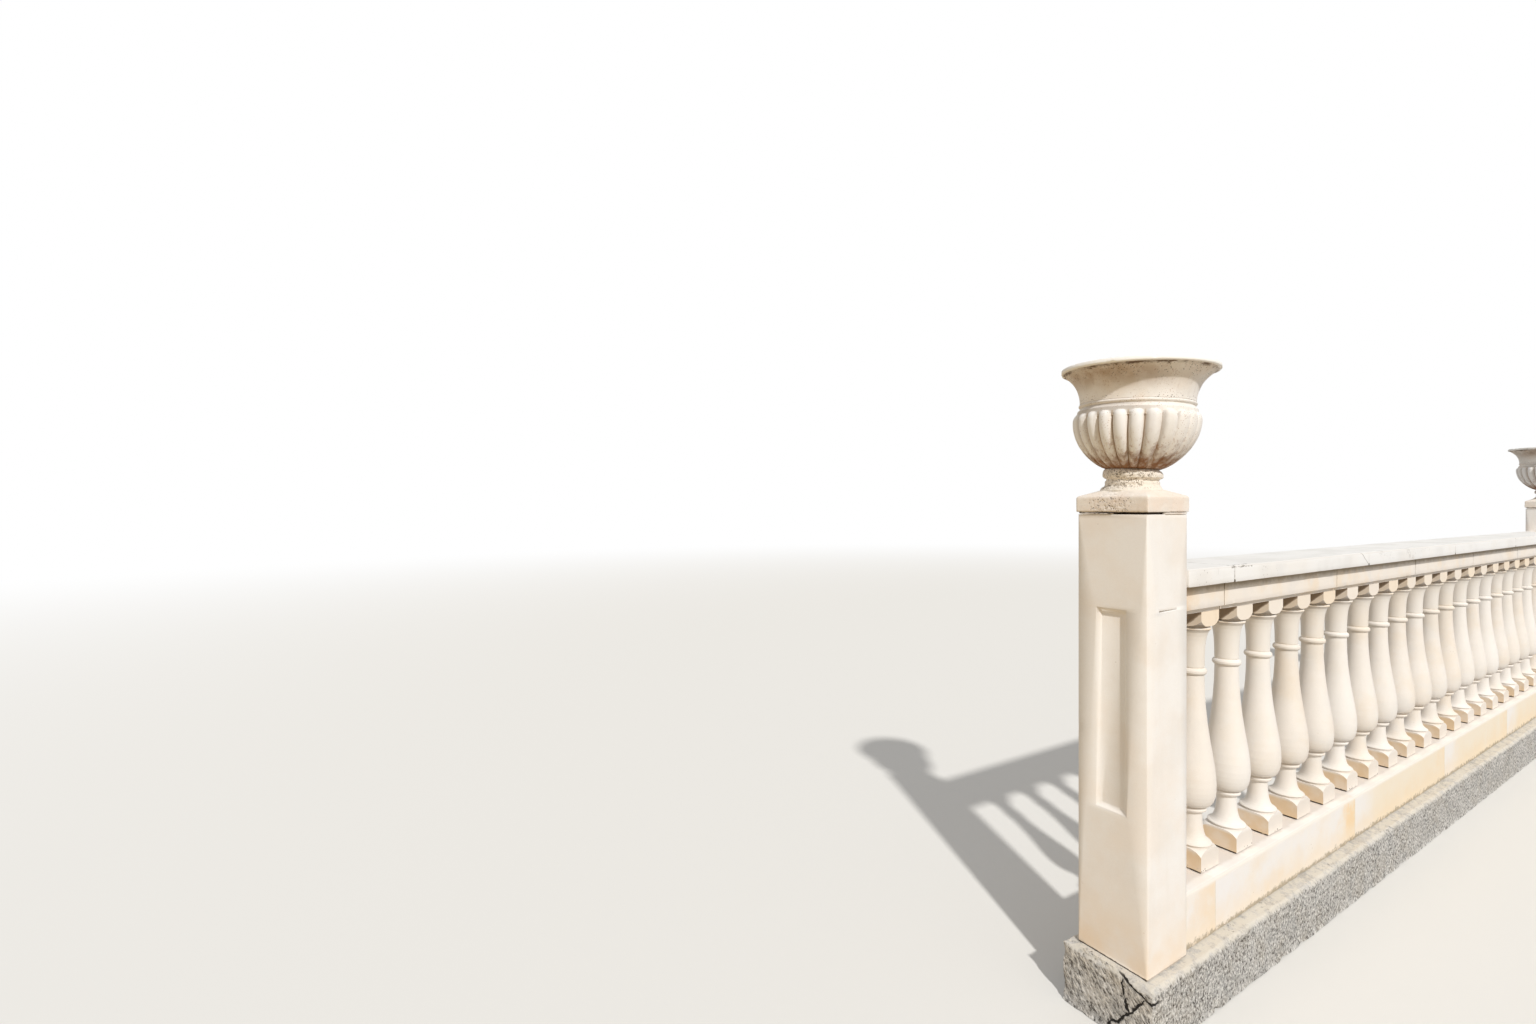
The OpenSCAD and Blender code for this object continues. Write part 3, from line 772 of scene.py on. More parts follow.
@dataclass(frozen=True)
class CopingStone(CourseStone):
    """Coping slabs: the whitest stone, rained grey on top, with lichen specks and hairline cracks."""

    name: str = "coping_cast_stone"
    slot: str = "coping_stone"
    base: str = "F8F7F6"
    warm: str = "F3EBE1"
    cool: str = "E9E7E5"
    top: str = "F1EFEC"
    rained: str = "E7E5E1"
    painted_arris_shade: str = "DFDBD6"
    speck: str = "8F8A80"
    crack: str = "6F675A"
    patch_mm: float = 190.0
    warm_share: float = 0.3
    grain: float = 0.06
    pit_mm: float = 12.0
    pit_r: float = 0.14
    pit_spread: Pair = (0.5, 0.68)
    joints: Pair = COPING_SLABS
    scuffed: Triple = (-4.372, -0.099, 1.197)
    cracked: float = 1.250
    crack_slant: float = -1.5

    def weather(self, p: Painter) -> None:
        """Greys the top, paints shade on the rounded long arrises against their highlight, darkens pointed
        joints and their chipped ends, cracks a corner and scuffs an arris.

        Args:
            p: The material's painter.
        """
        up = p.out_z
        rained = p.cloud(130, 4, 0.6, stretch=(0.5, 1, 1), shift=(4, 1, 0)).span(0.42, 0.60)
        p.coat(up.span(0.4, 0.9, (0, 0.8)), p.mix(rained, self.top, self.rained))
        # Painted shade: the rounded arrises are darkened against their highlight.
        p.coat(up.span(0.08, 0.4, (0, 0.8)) * up.span(0.98, 0.75), self.painted_arris_shade)
        edge = p.cells(420, "DISTANCE_TO_EDGE", shift=(0.9, 0.2, 0.3), stretch=(1, 0.6, 0.6))
        line = abs(edge + p.waver(30, 0.05, 4)).span(0.0010, 0.0030, (1, 0))
        line *= p.cloud(300, 2, shift=(8, 1, 1)).span(0.52, 0.62)
        p.coat(line * 0.2, self.crack)
        in_bay, side = self.along(p)
        off = abs(side) + p.waver(10, 0.003, shift=(2, 0, 1))
        tip = p.z.span(BED_TOP + 0.012, BED_TOP)
        nick = (off - tip * 0.004).span(0.0022, 0.0008) * tip.span(0.1, 0.3)
        beside = in_bay - self.cracked
        pointing = off.span(0.0030, 0.0012) * p.cloud(40, 2, shift=(0, 1, 7)).span(0.40, 0.60, (0.15, 0.65))
        p.coat(pointing * abs(beside).span(0.02, 0.06, (0.2, 1)) | nick, self.crack)
        path = beside - (p.z - BED_TOP) * self.crack_slant + p.waver(24, 0.014, shift=(7, 0, 2))
        p.coat(abs(path).span(0.0034, 0.0014) * p.y.span(-0.055, -0.085) * 0.6, self.crack)
        x, y, z = self.scuffed
        dashes = abs(p.x - x).span(0.066, 0.058)
        dashes *= p.cloud(9, 4, 0.7, stretch=(0.5, 1, 1), shift=(3, 3, 3)).span(0.46, 0.54)
        level = p.z - z + (p.y - y) * -0.5 + p.waver(30, 0.006, 2, shift=(9, 3, 0))
        dashes *= abs(level).span(0.0026, 0.0012)
        p.coat(dashes * 0.7, self.crack)
        p.height -= line + (nick + dashes)


@dataclass(frozen=True)
class FootingConcrete(CastStone):
    """Footing: rough pale grey concrete cast against the earth, with a broken corner."""

    name: str = "rough_footing_concrete"
    slot: str = "footing_concrete"
    base: str = "D6D2CD"
    warm: str = "BFB5A6"
    cool: str = "B5B4B2"
    speck: str = "4B453D"
    crack: str = "1F1A15"
    mortar: str = "DDD6C9"
    crest: str = "EFEBE5"
    patch_mm: float = 80.0
    warm_share: float = 0.5
    cool_share: float = 0.6
    grain_mm: float = 5.0
    grain: float = 0.4
    pit_mm: float = 12.0
    pit_r: float = 0.2
    pit_spread: Pair = (0.46, 0.62)
    relief_mm: float = 5.0
    roughness: float = 0.95
    gravel_mm: float = 6.5
    drawn: float = 0.42
    slant_deg: float = 37.0
    end_x: float = -4.86

    def weather(self, p: Painter) -> None:
        """Drags the aggregate aslant, spreads mortar on top and breaks the near end's front corner.

        Args:
            p: The material's painter.
        """
        slant = {"Vector": p.place, "Angle": math.radians(self.slant_deg)}
        turned = p.add("VectorRotate", slant, rotation_type="X_AXIS").outputs[0]
        drawn = p.add("Mapping", {"Vector": turned, "Scale": (1, 1, self.drawn)}).outputs[0]
        gravel = p.value("TexNoise", {
            "Vector": drawn, "Scale": 1 / (self.gravel_mm * MM), "Detail": 4, "Roughness": 0.66})
        side = p.out_z.span(0.75, 0.35)
        p.coat(side * gravel.span(0.50, 0.62, (0, 0.95)), self.crest)
        p.coat(side * gravel.span(0.46, 0.38) * 0.9, self.speck)
        smear = p.cloud(30, 4, 0.7, shift=(2, 0, 6)).span(0.40, 0.55, (0.15, 0.85))
        p.coat(p.z.span(FOOTING_TOP - 0.020, FOOTING_TOP - 0.004) * smear, self.mortar)
        fall = FOOTING_TOP - p.z
        wavy = p.waver(42, 0.034, 2, 0.45, shift=(1, 1, 0))
        thick = p.cloud(16, 3, shift=(4, 2, 9)).span(0.36, 0.64, (0.35, 1.25))

        def crack(start_y: float, slope: float, width: float, first: float, last: float,
                  waves: float = 1.0) -> Field:
            """A ragged crack on the end face.

            Args:
                start_y: Where it would start at the top.
                slope: How far it runs aside for each step down.
                width: Its width.
                first: Depth below the top at which it begins.
                last: Depth at which it ends.
                waves: How much it wanders.

            Returns:
                The crack's mask.
            """
            at = p.y - start_y + (fall * slope + wavy * waves)
            line = (abs(at) / thick).span(width * 0.45, width, (1, 0))
            return line * (fall.span(first - 0.004, first + 0.002) * fall.span(last + 0.004, last - 0.002))

        broken = crack(-0.032, 2.5, 0.0090, 0.004, 0.042) | crack(-0.125, -0.72, 0.0052, 0.034, 0.17)
        broken = broken | crack(-0.046, 0.15, 0.0030, 0.012, 0.088, 1.3)
        broken *= p.x.span(self.end_x + 0.03, self.end_x - 0.002)
        p.coat(broken, self.crack)
        p.height = p.height * 0.5 + side * gravel * 1.3 - broken * 1.2


ARRIS = 0.0012  # rounding of a stone's plain arrises
COLUMN_STEP = 0.014  # spacing of a stone's vertices along it
ROW_STEP = 0.016  # and in height
INSETS = (0.004, 0.009)  # where it is cut beside its edges
WAVES = (180, 0.8)  # size and depth of a cast face's slight waves, in millimetres
ROUGH_SIZE = 0.012
CLUSTER_SIZE = 0.07
PIT_STEP = 0.009
PIT_R = 0.42  # in steps


class Wear(Enum):
    """How worn a stone's arrises are: reach, rub and chip depth in millimetres, chipped share."""

    LIGHT = (4.0, 0.35, 1.6, 0.10)
    WORN = (6.0, 0.8, 3.5, 0.20)
    ROUGH = (14.0, 3.0, 9.0, 0.45)


def wander(place: Vector, size: float, seed: float) -> float:
    """Fractal noise at a place.

    Args:
        place: Where.
        size: Size of the largest features in metres.
        seed: Shifts the pattern.

    Returns:
        A value from about -1 to 1.
    """
    return noise.fractal(place / size + Vector((seed, seed * 0.7, -seed)), 1.0, 2.0, 3)


def wear_arrises(verts: Iterable[bmesh.types.BMVert], low: Vector, high: Vector, wear: Wear,
                 seed: float) -> None:
    """Rubs and chips the arrises of a squared stone, inwards only.

    Args:
        verts: The stone's vertices.
        low: Lowest corner of the stone.
        high: Highest corner of the stone.
        wear: How worn it is.
        seed: Shifts the pattern.
    """
    reach, rub, chip, share = wear.value
    for v in verts:
        sides = sorted(
            (min(v.co[a] - low[a], high[a] - v.co[a]), a, 1 if v.co[a] - low[a] < high[a] - v.co[a] else -1)
            for a in range(3)
        )
        near = 1 - sides[1][0] / (reach * MM)
        if near <= 0:
            continue
        broken = max(0.0, wander(v.co, 0.045, seed) - 0.45 + share)
        depth = (rub * (0.6 + 0.4 * wander(v.co, 0.02, seed + 3)) + chip * broken) * MM * near
        for _, axis, inward in sides[:2]:
            v.co[axis] += inward * depth


def undulate(verts: Iterable[bmesh.types.BMVert], size_mm: float, depth_mm: float, seed: float) -> None:
    """Lets a surface sink by soft noise, along its own normals.

    Args:
        verts: The vertices.
        size_mm: Size of the noise's features.
        depth_mm: Deepest sink.
        seed: Shifts the pattern.
    """
    for v in verts:
        v.co -= v.normal * (0.5 + 0.5 * wander(v.co, size_mm * MM, seed)) * depth_mm * MM


def erode(verts: Iterable[bmesh.types.BMVert], seed: float, rough_mm: float, pit_mm: float,
          bared: tuple[Vector, float] | None = None) -> None:
    """Roughens a fine mesh and sinks clustered pits into it.

    Args:
        verts: The vertices.
        seed: Shifts the pattern.
        rough_mm: Depth of the roughness.
        pit_mm: Depth of the pits.
        bared: Middle and radius of a place where the skin has come off, if there is one.
    """
    for v in verts:
        rough = 0.5 + 0.5 * wander(v.co, ROUGH_SIZE, seed)
        cluster = held((wander(v.co, CLUSTER_SIZE, seed + 5) - 0.05) * 2.2)
        if bared:
            near = max(0.0, 1 - ((v.co - bared[0]).length / bared[1]) ** 2)
            rough += near * (0.6 + 0.6 * wander(v.co, 0.009, seed + 2))
            cluster = max(cluster, 1.8 * near)
        distance = noise.voronoi(v.co / PIT_STEP + Vector((seed, 0, 0)))[0][0]
        pit = max(0.0, 1 - distance / PIT_R) * cluster
        v.co -= v.normal * (rough * rough_mm + pit * pit_mm) * MM


def cut(bm: bmesh.types.BMesh, axis: int, at: float) -> None:
    """Cuts a mesh by one plane across an axis, so that it has vertices to wear.

    Args:
        bm: The mesh.
        axis: 0, 1 or 2 for a plane across X, Y or Z.
        at: Where the plane lies on that axis.
    """
    normal = Vector([1.0 if a == axis else 0.0 for a in range(3)])
    bmesh.ops.bisect_plane(bm, geom=[*bm.verts, *bm.edges, *bm.faces], dist=1e-6, plane_co=normal * at,
                           plane_no=normal)


def cut_every(bm: bmesh.types.BMesh, axis: int, low: float, high: float, step: float) -> None:
    """Cuts a mesh by evenly spaced planes.

    Args:
        bm: The mesh.
        axis: 0, 1 or 2 for planes across X, Y or Z.
        low: Where the first gap starts.
        high: Where the last gap ends.
        step: Wished spacing.
    """
    count = max(1, round((high - low) / step))
    for k in range(1, count):
        cut(bm, axis, low + (high - low) * k / count)


def block(low: Vector, high: Vector) -> bmesh.types.BMesh:
    """Makes a squared block.

    Args:
        low: Its lowest corner.
        high: Its highest corner.

    Returns:
        Its mesh.
    """
    bm = bmesh.new()
    bmesh.ops.create_cube(bm, size=1.0)
    bmesh.ops.transform(bm, verts=bm.verts, matrix=Matrix.LocRotScale((low + high) / 2, None, high - low))
    return bm


def rounded(bm: bmesh.types.BMesh, edges: list[bmesh.types.BMEdge], offset: float, segments: int) -> None:
    """Rounds some edges of a mesh.

    Args:
        bm: The mesh.
        edges: The edges.
        offset: How far from each edge the rounding starts.
        segments: Steps across it.
    """
    bmesh.ops.bevel(bm, geom=edges, offset=offset, offset_type="OFFSET", affect="EDGES",
                    segments=segments, profile=0.5, material=-1)


def upper_edges(bm: bmesh.types.BMesh, top: float) -> list[bmesh.types.BMEdge]:
    """The edges that lie at a height."""
    return [e for e in bm.edges if all(abs(v.co.z - top) < 1e-6 for v in e.verts)]


def squared_stone(low: Vector, high: Vector, top_round: float, wear: Wear,
                  seed: float) -> bmesh.types.BMesh:
    """One squared stone along X, with rounded upper edges and worn arrises.

    Args:
        low: Lowest corner.
        high: Highest corner.
        top_round: Rounding of its long upper edges.
        wear: How worn it is.
        seed: Shifts the wear.

    Returns:
        The stone's mesh.
    """
    bm = block(low, high)
    long_edges = [e for e in upper_edges(bm, high.z) if abs(e.verts[0].co.x - e.verts[1].co.x) > 1e-6]
    rounded(bm, long_edges, top_round, 5)
    rounded(bm, [e for e in bm.edges if e.calc_face_angle(0) > math.radians(60)], ARRIS, 2)
    cut_every(bm, 0, low.x, high.x, COLUMN_STEP)
    cut_every(bm, 2, low.z, high.z, ROW_STEP)
    for inset in INSETS:
        for axis in (1, 0):
            for at in (low[axis] + inset, high[axis] - inset):
                cut(bm, axis, at)
    bm.normal_update()
    undulate(bm.verts, *WAVES, seed)
    wear_arrises(bm.verts, low, high, wear, seed)
    return bm


def joined(stones: Iterable[bmesh.types.BMesh]) -> bmesh.types.BMesh:
    """Puts several stones into one mesh and frees them.

    Args:
        stones: The stones' meshes.

    Returns:
        One mesh.
    """
    whole = bmesh.new()
    carrier = bpy.data.meshes.new("carrier")
    for stone in stones:
        stone.to_mesh(carrier)
        stone.free()
        whole.from_mesh(carrier)
    bpy.data.meshes.remove(carrier)
    return whole


def in_scene(name: str, data: bpy.types.ID) -> bpy.types.Object:
    """Makes an object and links it to the scene.

    Args:
        name: The object's name.
        data: Its mesh, lamp or camera.

    Returns:
        The object.
    """
    thing = bpy.data.objects.new(name, data)
    bpy.context.scene.collection.objects.link(thing)
    return thing


def as_mesh(bm: bmesh.types.BMesh, name: str) -> bpy.types.Mesh:
    """Writes a mesh out.

    Args:
        bm: The mesh, which is freed.
        name: The name that it gets.

    Returns:
        The mesh as an object takes it.
    """
    mesh = bpy.data.meshes.new(name)
    bm.to_mesh(mesh)
    bm.free()
    return mesh


def copied(node: str) -> bmesh.types.BMesh:
    """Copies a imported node's mesh, with its vertices merged.

    Args:
        node: The node's name.

    Returns:
        The mesh.
    """
    bm = bmesh.new()
    bm.from_mesh(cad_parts[node].data)
    bmesh.ops.remove_doubles(bm, verts=bm.verts, dist=2e-5)
    return bm


def softened(node: str, voxel_mm: float) -> bmesh.types.BMesh:
    """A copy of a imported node's mesh made of even small quads, its edges softened.

    Args:
        node: The node's name.
        voxel_mm: Size of the quads.

    Returns:
        The mesh.
    """
    coarse = in_scene("coarse", as_mesh(copied(node), "coarse"))
    modifier = coarse.modifiers.new("even", "REMESH")
    modifier.mode = "VOXEL"
    modifier.voxel_size = voxel_mm * MM
    bm = bmesh.new()
    bm.from_object(coarse, bpy.context.evaluated_depsgraph_get())
    bpy.data.objects.remove(coarse)
    bmesh.ops.smooth_vert(bm, verts=bm.verts, factor=0.5, use_axis_x=True, use_axis_y=True, use_axis_z=True)
    return bm


def placed(bm: bmesh.types.BMesh, name: str, material: bpy.types.Material, finish: CastStone, *nodes: str,
           sharp_deg: float = 32.0) -> None:
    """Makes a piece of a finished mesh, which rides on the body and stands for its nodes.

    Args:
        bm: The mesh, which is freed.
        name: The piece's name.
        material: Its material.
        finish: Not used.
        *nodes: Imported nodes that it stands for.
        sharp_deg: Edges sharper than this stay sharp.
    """
    bmesh.ops.recalc_face_normals(bm, faces=bm.faces)
    mesh = as_mesh(bm, name)
    mesh.shade_smooth()
    mesh.set_sharp_from_angle(angle=math.radians(sharp_deg))
    mesh.materials.append(material)
    piece = in_scene(name, mesh)
    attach(piece, BODY)
    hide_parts(*nodes)
    log.info("%s: %d triangles", name, sum(len(f.vertices) - 2 for f in mesh.polygons))


@dataclass
class Footing:
    """The rough concrete strip under the run."""

    finish: FootingConcrete = FootingConcrete()
    slope: float = 0.014
    step: float = 0.016
    near_step: float = 0.008
    near_len: float = 0.36
    bearing_y: float = 0.095
    ribs: Triple = (55.0, 60.0, 16.0)
    slant: float = 70.0
    rib_depth: float = 0.0018
    wave_depth: float = 0.0045
    end_depth: float = 0.006

    def build(self) -> bmesh.types.BMesh:
        """Makes the strip, finer at the near end, with slanting ribs and a rougher end face.

        Returns:
            Its mesh.
        """
        low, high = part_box("footing")
        bm = block(low, high)
        rounded(bm, upper_edges(bm, high.z), self.slope, 3)
        cut_every(bm, 0, low.x + self.near_len, high.x, self.step * 1.6)
        cut_every(bm, 0, low.x, low.x + self.near_len, self.near_step)
        cut_every(bm, 1, low.y, high.y, self.step)
        cut_every(bm, 2, low.z, high.z, self.near_step * 1.3)
        bm.normal_update()
        for v in bm.verts:
            x, y, z = v.co
            if z < low.z + 1e-5 or (abs(y) < self.bearing_y and z > high.z - 0.001):
                continue
            rib_x, rib_y, rib_z = self.ribs
            place = Vector((x * rib_x + z * self.slant, y * rib_y + z * self.slant, z * rib_z))
            sink = self.rib_depth * (1 + noise.noise(place))
            sink += self.wave_depth * (0.5 + 0.5 * wander(v.co, 0.06, 2.0))
            if x < low.x + 0.002:
                sink += self.end_depth * max(0.0, wander(v.co, 0.045, 5.0) + 0.2)
            v.co -= v.normal * sink
        wear_arrises(bm.verts, low, high, Wear.ROUGH, 4.0)
        return bm

    def dress(self) -> None:
        """Builds, paints and places the strip."""
        placed(self.build(), "rough_footing", self.finish.paint(), self.finish, "footing", sharp_deg=60)


@dataclass
class Curbs:
    """The low curb of each bay."""

    finish: CurbStone = CurbStone()
    top_round: float = 0.009

    def dress(self) -> None:
        """Builds, paints and places each curb."""
        paint = self.finish.paint()
        for bay in range(1, BAYS + 1):
            node = f"curb_{bay}"
            stone = squared_stone(*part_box(node), self.top_round, Wear.WORN, 11.0 + bay)
            placed(stone, f"worn_{node}", paint, self.finish, node)


@dataclass
class Rail:
    """The two courses of the rail: bed stones on the balusters, coping slabs on those."""

    bed: BedStone = BedStone()
    coping: CopingStone = CopingStone()
    joint: float = 0.003
    pointed: float = 0.001
    coping_round: float = 0.007
    bed_round: float = 0.002
    foot_w: float = 0.114
    foot_h: float = 0.013
    foot_round: float = 0.0005

    def course(self, node: str, joints: Pair, top_round: float, seed: float, foot_h: float,
               gap: float) -> bmesh.types.BMesh:
        """Makes one course of separate stones where a node is.

        Args:
            node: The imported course.
            joints: Length of its first stone and of the stones after it.
            top_round: Rounding of the stones' upper edges.
            seed: Shifts the wear.
            foot_h: Height of the narrow foot under the stones.
            gap: Width of the joints between them.

        Returns:
            The course's mesh.
        """
        low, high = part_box(node)
        first, length = joints
        ends, x = [low.x], low.x + first
        while x < high.x - length / 4:
            ends.append(x)
            x += length
        ends.append(high.x)
        stones = []
        for k, (start, end) in enumerate(zip(ends, ends[1:])):
            start += gap / 2 if k else 0.0
            end -= gap / 2 if k < len(ends) - 2 else 0.0
            stones.append(squared_stone(Vector((start, low.y, low.z + foot_h)), Vector((end, high.y, high.z)),
                                        top_round, Wear.LIGHT, seed + k))
            if foot_h:
                stones.append(squared_stone(Vector((start, -self.foot_w / 2, low.z)),
                                            Vector((end, self.foot_w / 2, low.z + foot_h + 0.001)),
                                            self.foot_round, Wear.LIGHT, seed + 40 + k))
        return joined(stones)

    def dress(self) -> None:
        """Builds, paints and places both courses of each bay."""
        bed_paint, coping_paint = self.bed.paint(), self.coping.paint()
        for bay in range(1, BAYS + 1):
            bed, coping = f"rail_bed_{bay}", f"rail_coping_{bay}"
            stones = self.course(bed, self.bed.joints, self.bed_round, 21.0 + 7 * bay, self.foot_h,
                                 self.joint)
            placed(stones, f"bed_stones_{bay}", bed_paint, self.bed, bed)
            slabs = self.course(coping, self.coping.joints, self.coping_round, 51.0 + 7 * bay, 0.0,
                                self.pointed)
            placed(slabs, f"coping_slabs_{bay}", coping_paint, self.coping, coping)


@dataclass
class Balusters:
    """The turned balusters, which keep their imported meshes."""

    finish: BalusterStone = BalusterStone()

    def dress(self) -> None:
        """Paints every group of balusters."""
        paint = self.finish.paint()
        for name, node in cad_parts.items():
            if "balusters" in name:
                for slot in node.material_slots:
                    slot.material = paint
                log.info("%s: painted", name)


@dataclass
class Pillars:
    """The square pillars: shafts, and the capping stones over their open joints."""

    shaft: ShaftStone = ShaftStone()
    pitted: PittedStone = PittedStone()
    voxel_mm: float = 2.4
    shaft_step: float = 0.012
    bared_r: float = 0.060
    joint_h: float = 0.0060
    mortar_reach: float = 0.012
    mortar_front: float = 0.40
    mortar_end: float = 0.47
    mortar_stop: float = 0.985
    mortar_set: Pair = (0.0016, 0.0018)

    def build_shaft(self, i: int) -> bmesh.types.BMesh:
        """Wears the arrises of one shaft.

        Args:
            i: The pillar's number.

        Returns:
            Its mesh.
        """
        node = f"pillar_shaft_{i}"
        low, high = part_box(node)
        bm = copied(node)
        cut_every(bm, 2, low.z, high.z, self.shaft_step)
        bm.normal_update()
        wear_arrises(bm.verts, low, high, Wear.LIGHT, 60.0 + i)
        return bm

    def build_cap(self, i: int) -> bmesh.types.BMesh:
        """Erodes one capping stone: soft arrises, clustered pits and a ragged lower edge.

        Args:
            i: The pillar's number.

        Returns:
            Its mesh.
        """
        node = f"pillar_cap_{i}"
        low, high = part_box(node)
        bm = softened(node, self.voxel_mm)
        bm.normal_update()
        bared = (Vector((low.x, *self.pitted.bared[1:])), self.bared_r) if i == 1 else None
        erode(bm.verts, 70.0 + i, rough_mm=0.7, pit_mm=1.8, bared=bared)
        self.bridge(bm, low, high)
        return bm

    def bridge(self, bm: bmesh.types.BMesh, low: Vector, high: Vector) -> None:
        """Lets mortar bridge part of the joint under a capping stone: right in front, left on its end.

        Args:
            bm: The capping stone's mesh.
            low: Lowest corner of the stone.
            high: Highest corner of the stone.
        """
        for v in bm.verts:
            if v.co.z > low.z + self.joint_h + 0.0006:
                continue
            share = (v.co.x - low.x) / (high.x - low.x)
            back = (v.co.y - low.y) / (high.y - low.y)
            edge = 0.05 * wander(v.co, 0.012, 7.0)
            top = held((low.z + self.joint_h - v.co.z) / 0.001)
            if v.co.y < low.y + self.mortar_reach:
                full = held((share - self.mortar_front - edge) / 0.02)
                full *= held((self.mortar_stop - share) / 0.015)
                v.co.y += (low.y + self.mortar_set[0] - v.co.y) * full * top
            elif v.co.x < low.x + self.mortar_reach:
                full = held((back - self.mortar_end - edge) / 0.03)
                full *= held((self.mortar_stop - back) / 0.015)
                v.co.x += (low.x + self.mortar_set[1] - v.co.x) * full * top

    def dress(self) -> None:
        """Builds, paints and places shafts and capping stones."""
        shaft_paint, cap_paint = self.shaft.paint(), self.pitted.paint()
        for i in range(1, BAYS + 2):
            placed(self.build_shaft(i), f"worn_shaft_{i}", shaft_paint, self.shaft, f"pillar_shaft_{i}")
            placed(self.build_cap(i), f"weathered_cap_{i}", cap_paint, self.pitted, f"pillar_cap_{i}",
                   sharp_deg=75)


def curve(a: Pair, b: Pair, c: Pair, d: Pair, steps: int) -> list[Pair]:
    """Points of a cubic curve, both ends included.

    Args:
        a: First end.
        b: Its handle.
        c: The other end's handle.
        d: The other end.
        steps: Steps from end to end.

    Returns:
        The points.
    """
    points = []
    for k in range(steps + 1):
        t, s = k / steps, 1 - k / steps
        points.append(tuple(s ** 3 * a[i] + 3 * s * s * t * b[i] + 3 * s * t * t * c[i] + t ** 3 * d[i]
                            for i in (0, 1)))
    return points


def arc(middle: Pair, r: float, start: float, end: float, steps: int) -> list[Pair]:
    """Points of a round arc, both ends included.

    Args:
        middle: Its centre.
        r: Its radius.
        start: Where it starts, in degrees.
        end: Where it ends, in degrees.
        steps: Steps from end to end.

    Returns:
        The points.
    """
    angles = [math.radians(start + (end - start) * k / steps) for k in range(steps + 1)]
    return [(middle[0] + r * math.cos(a), middle[1] + r * math.sin(a)) for a in angles]


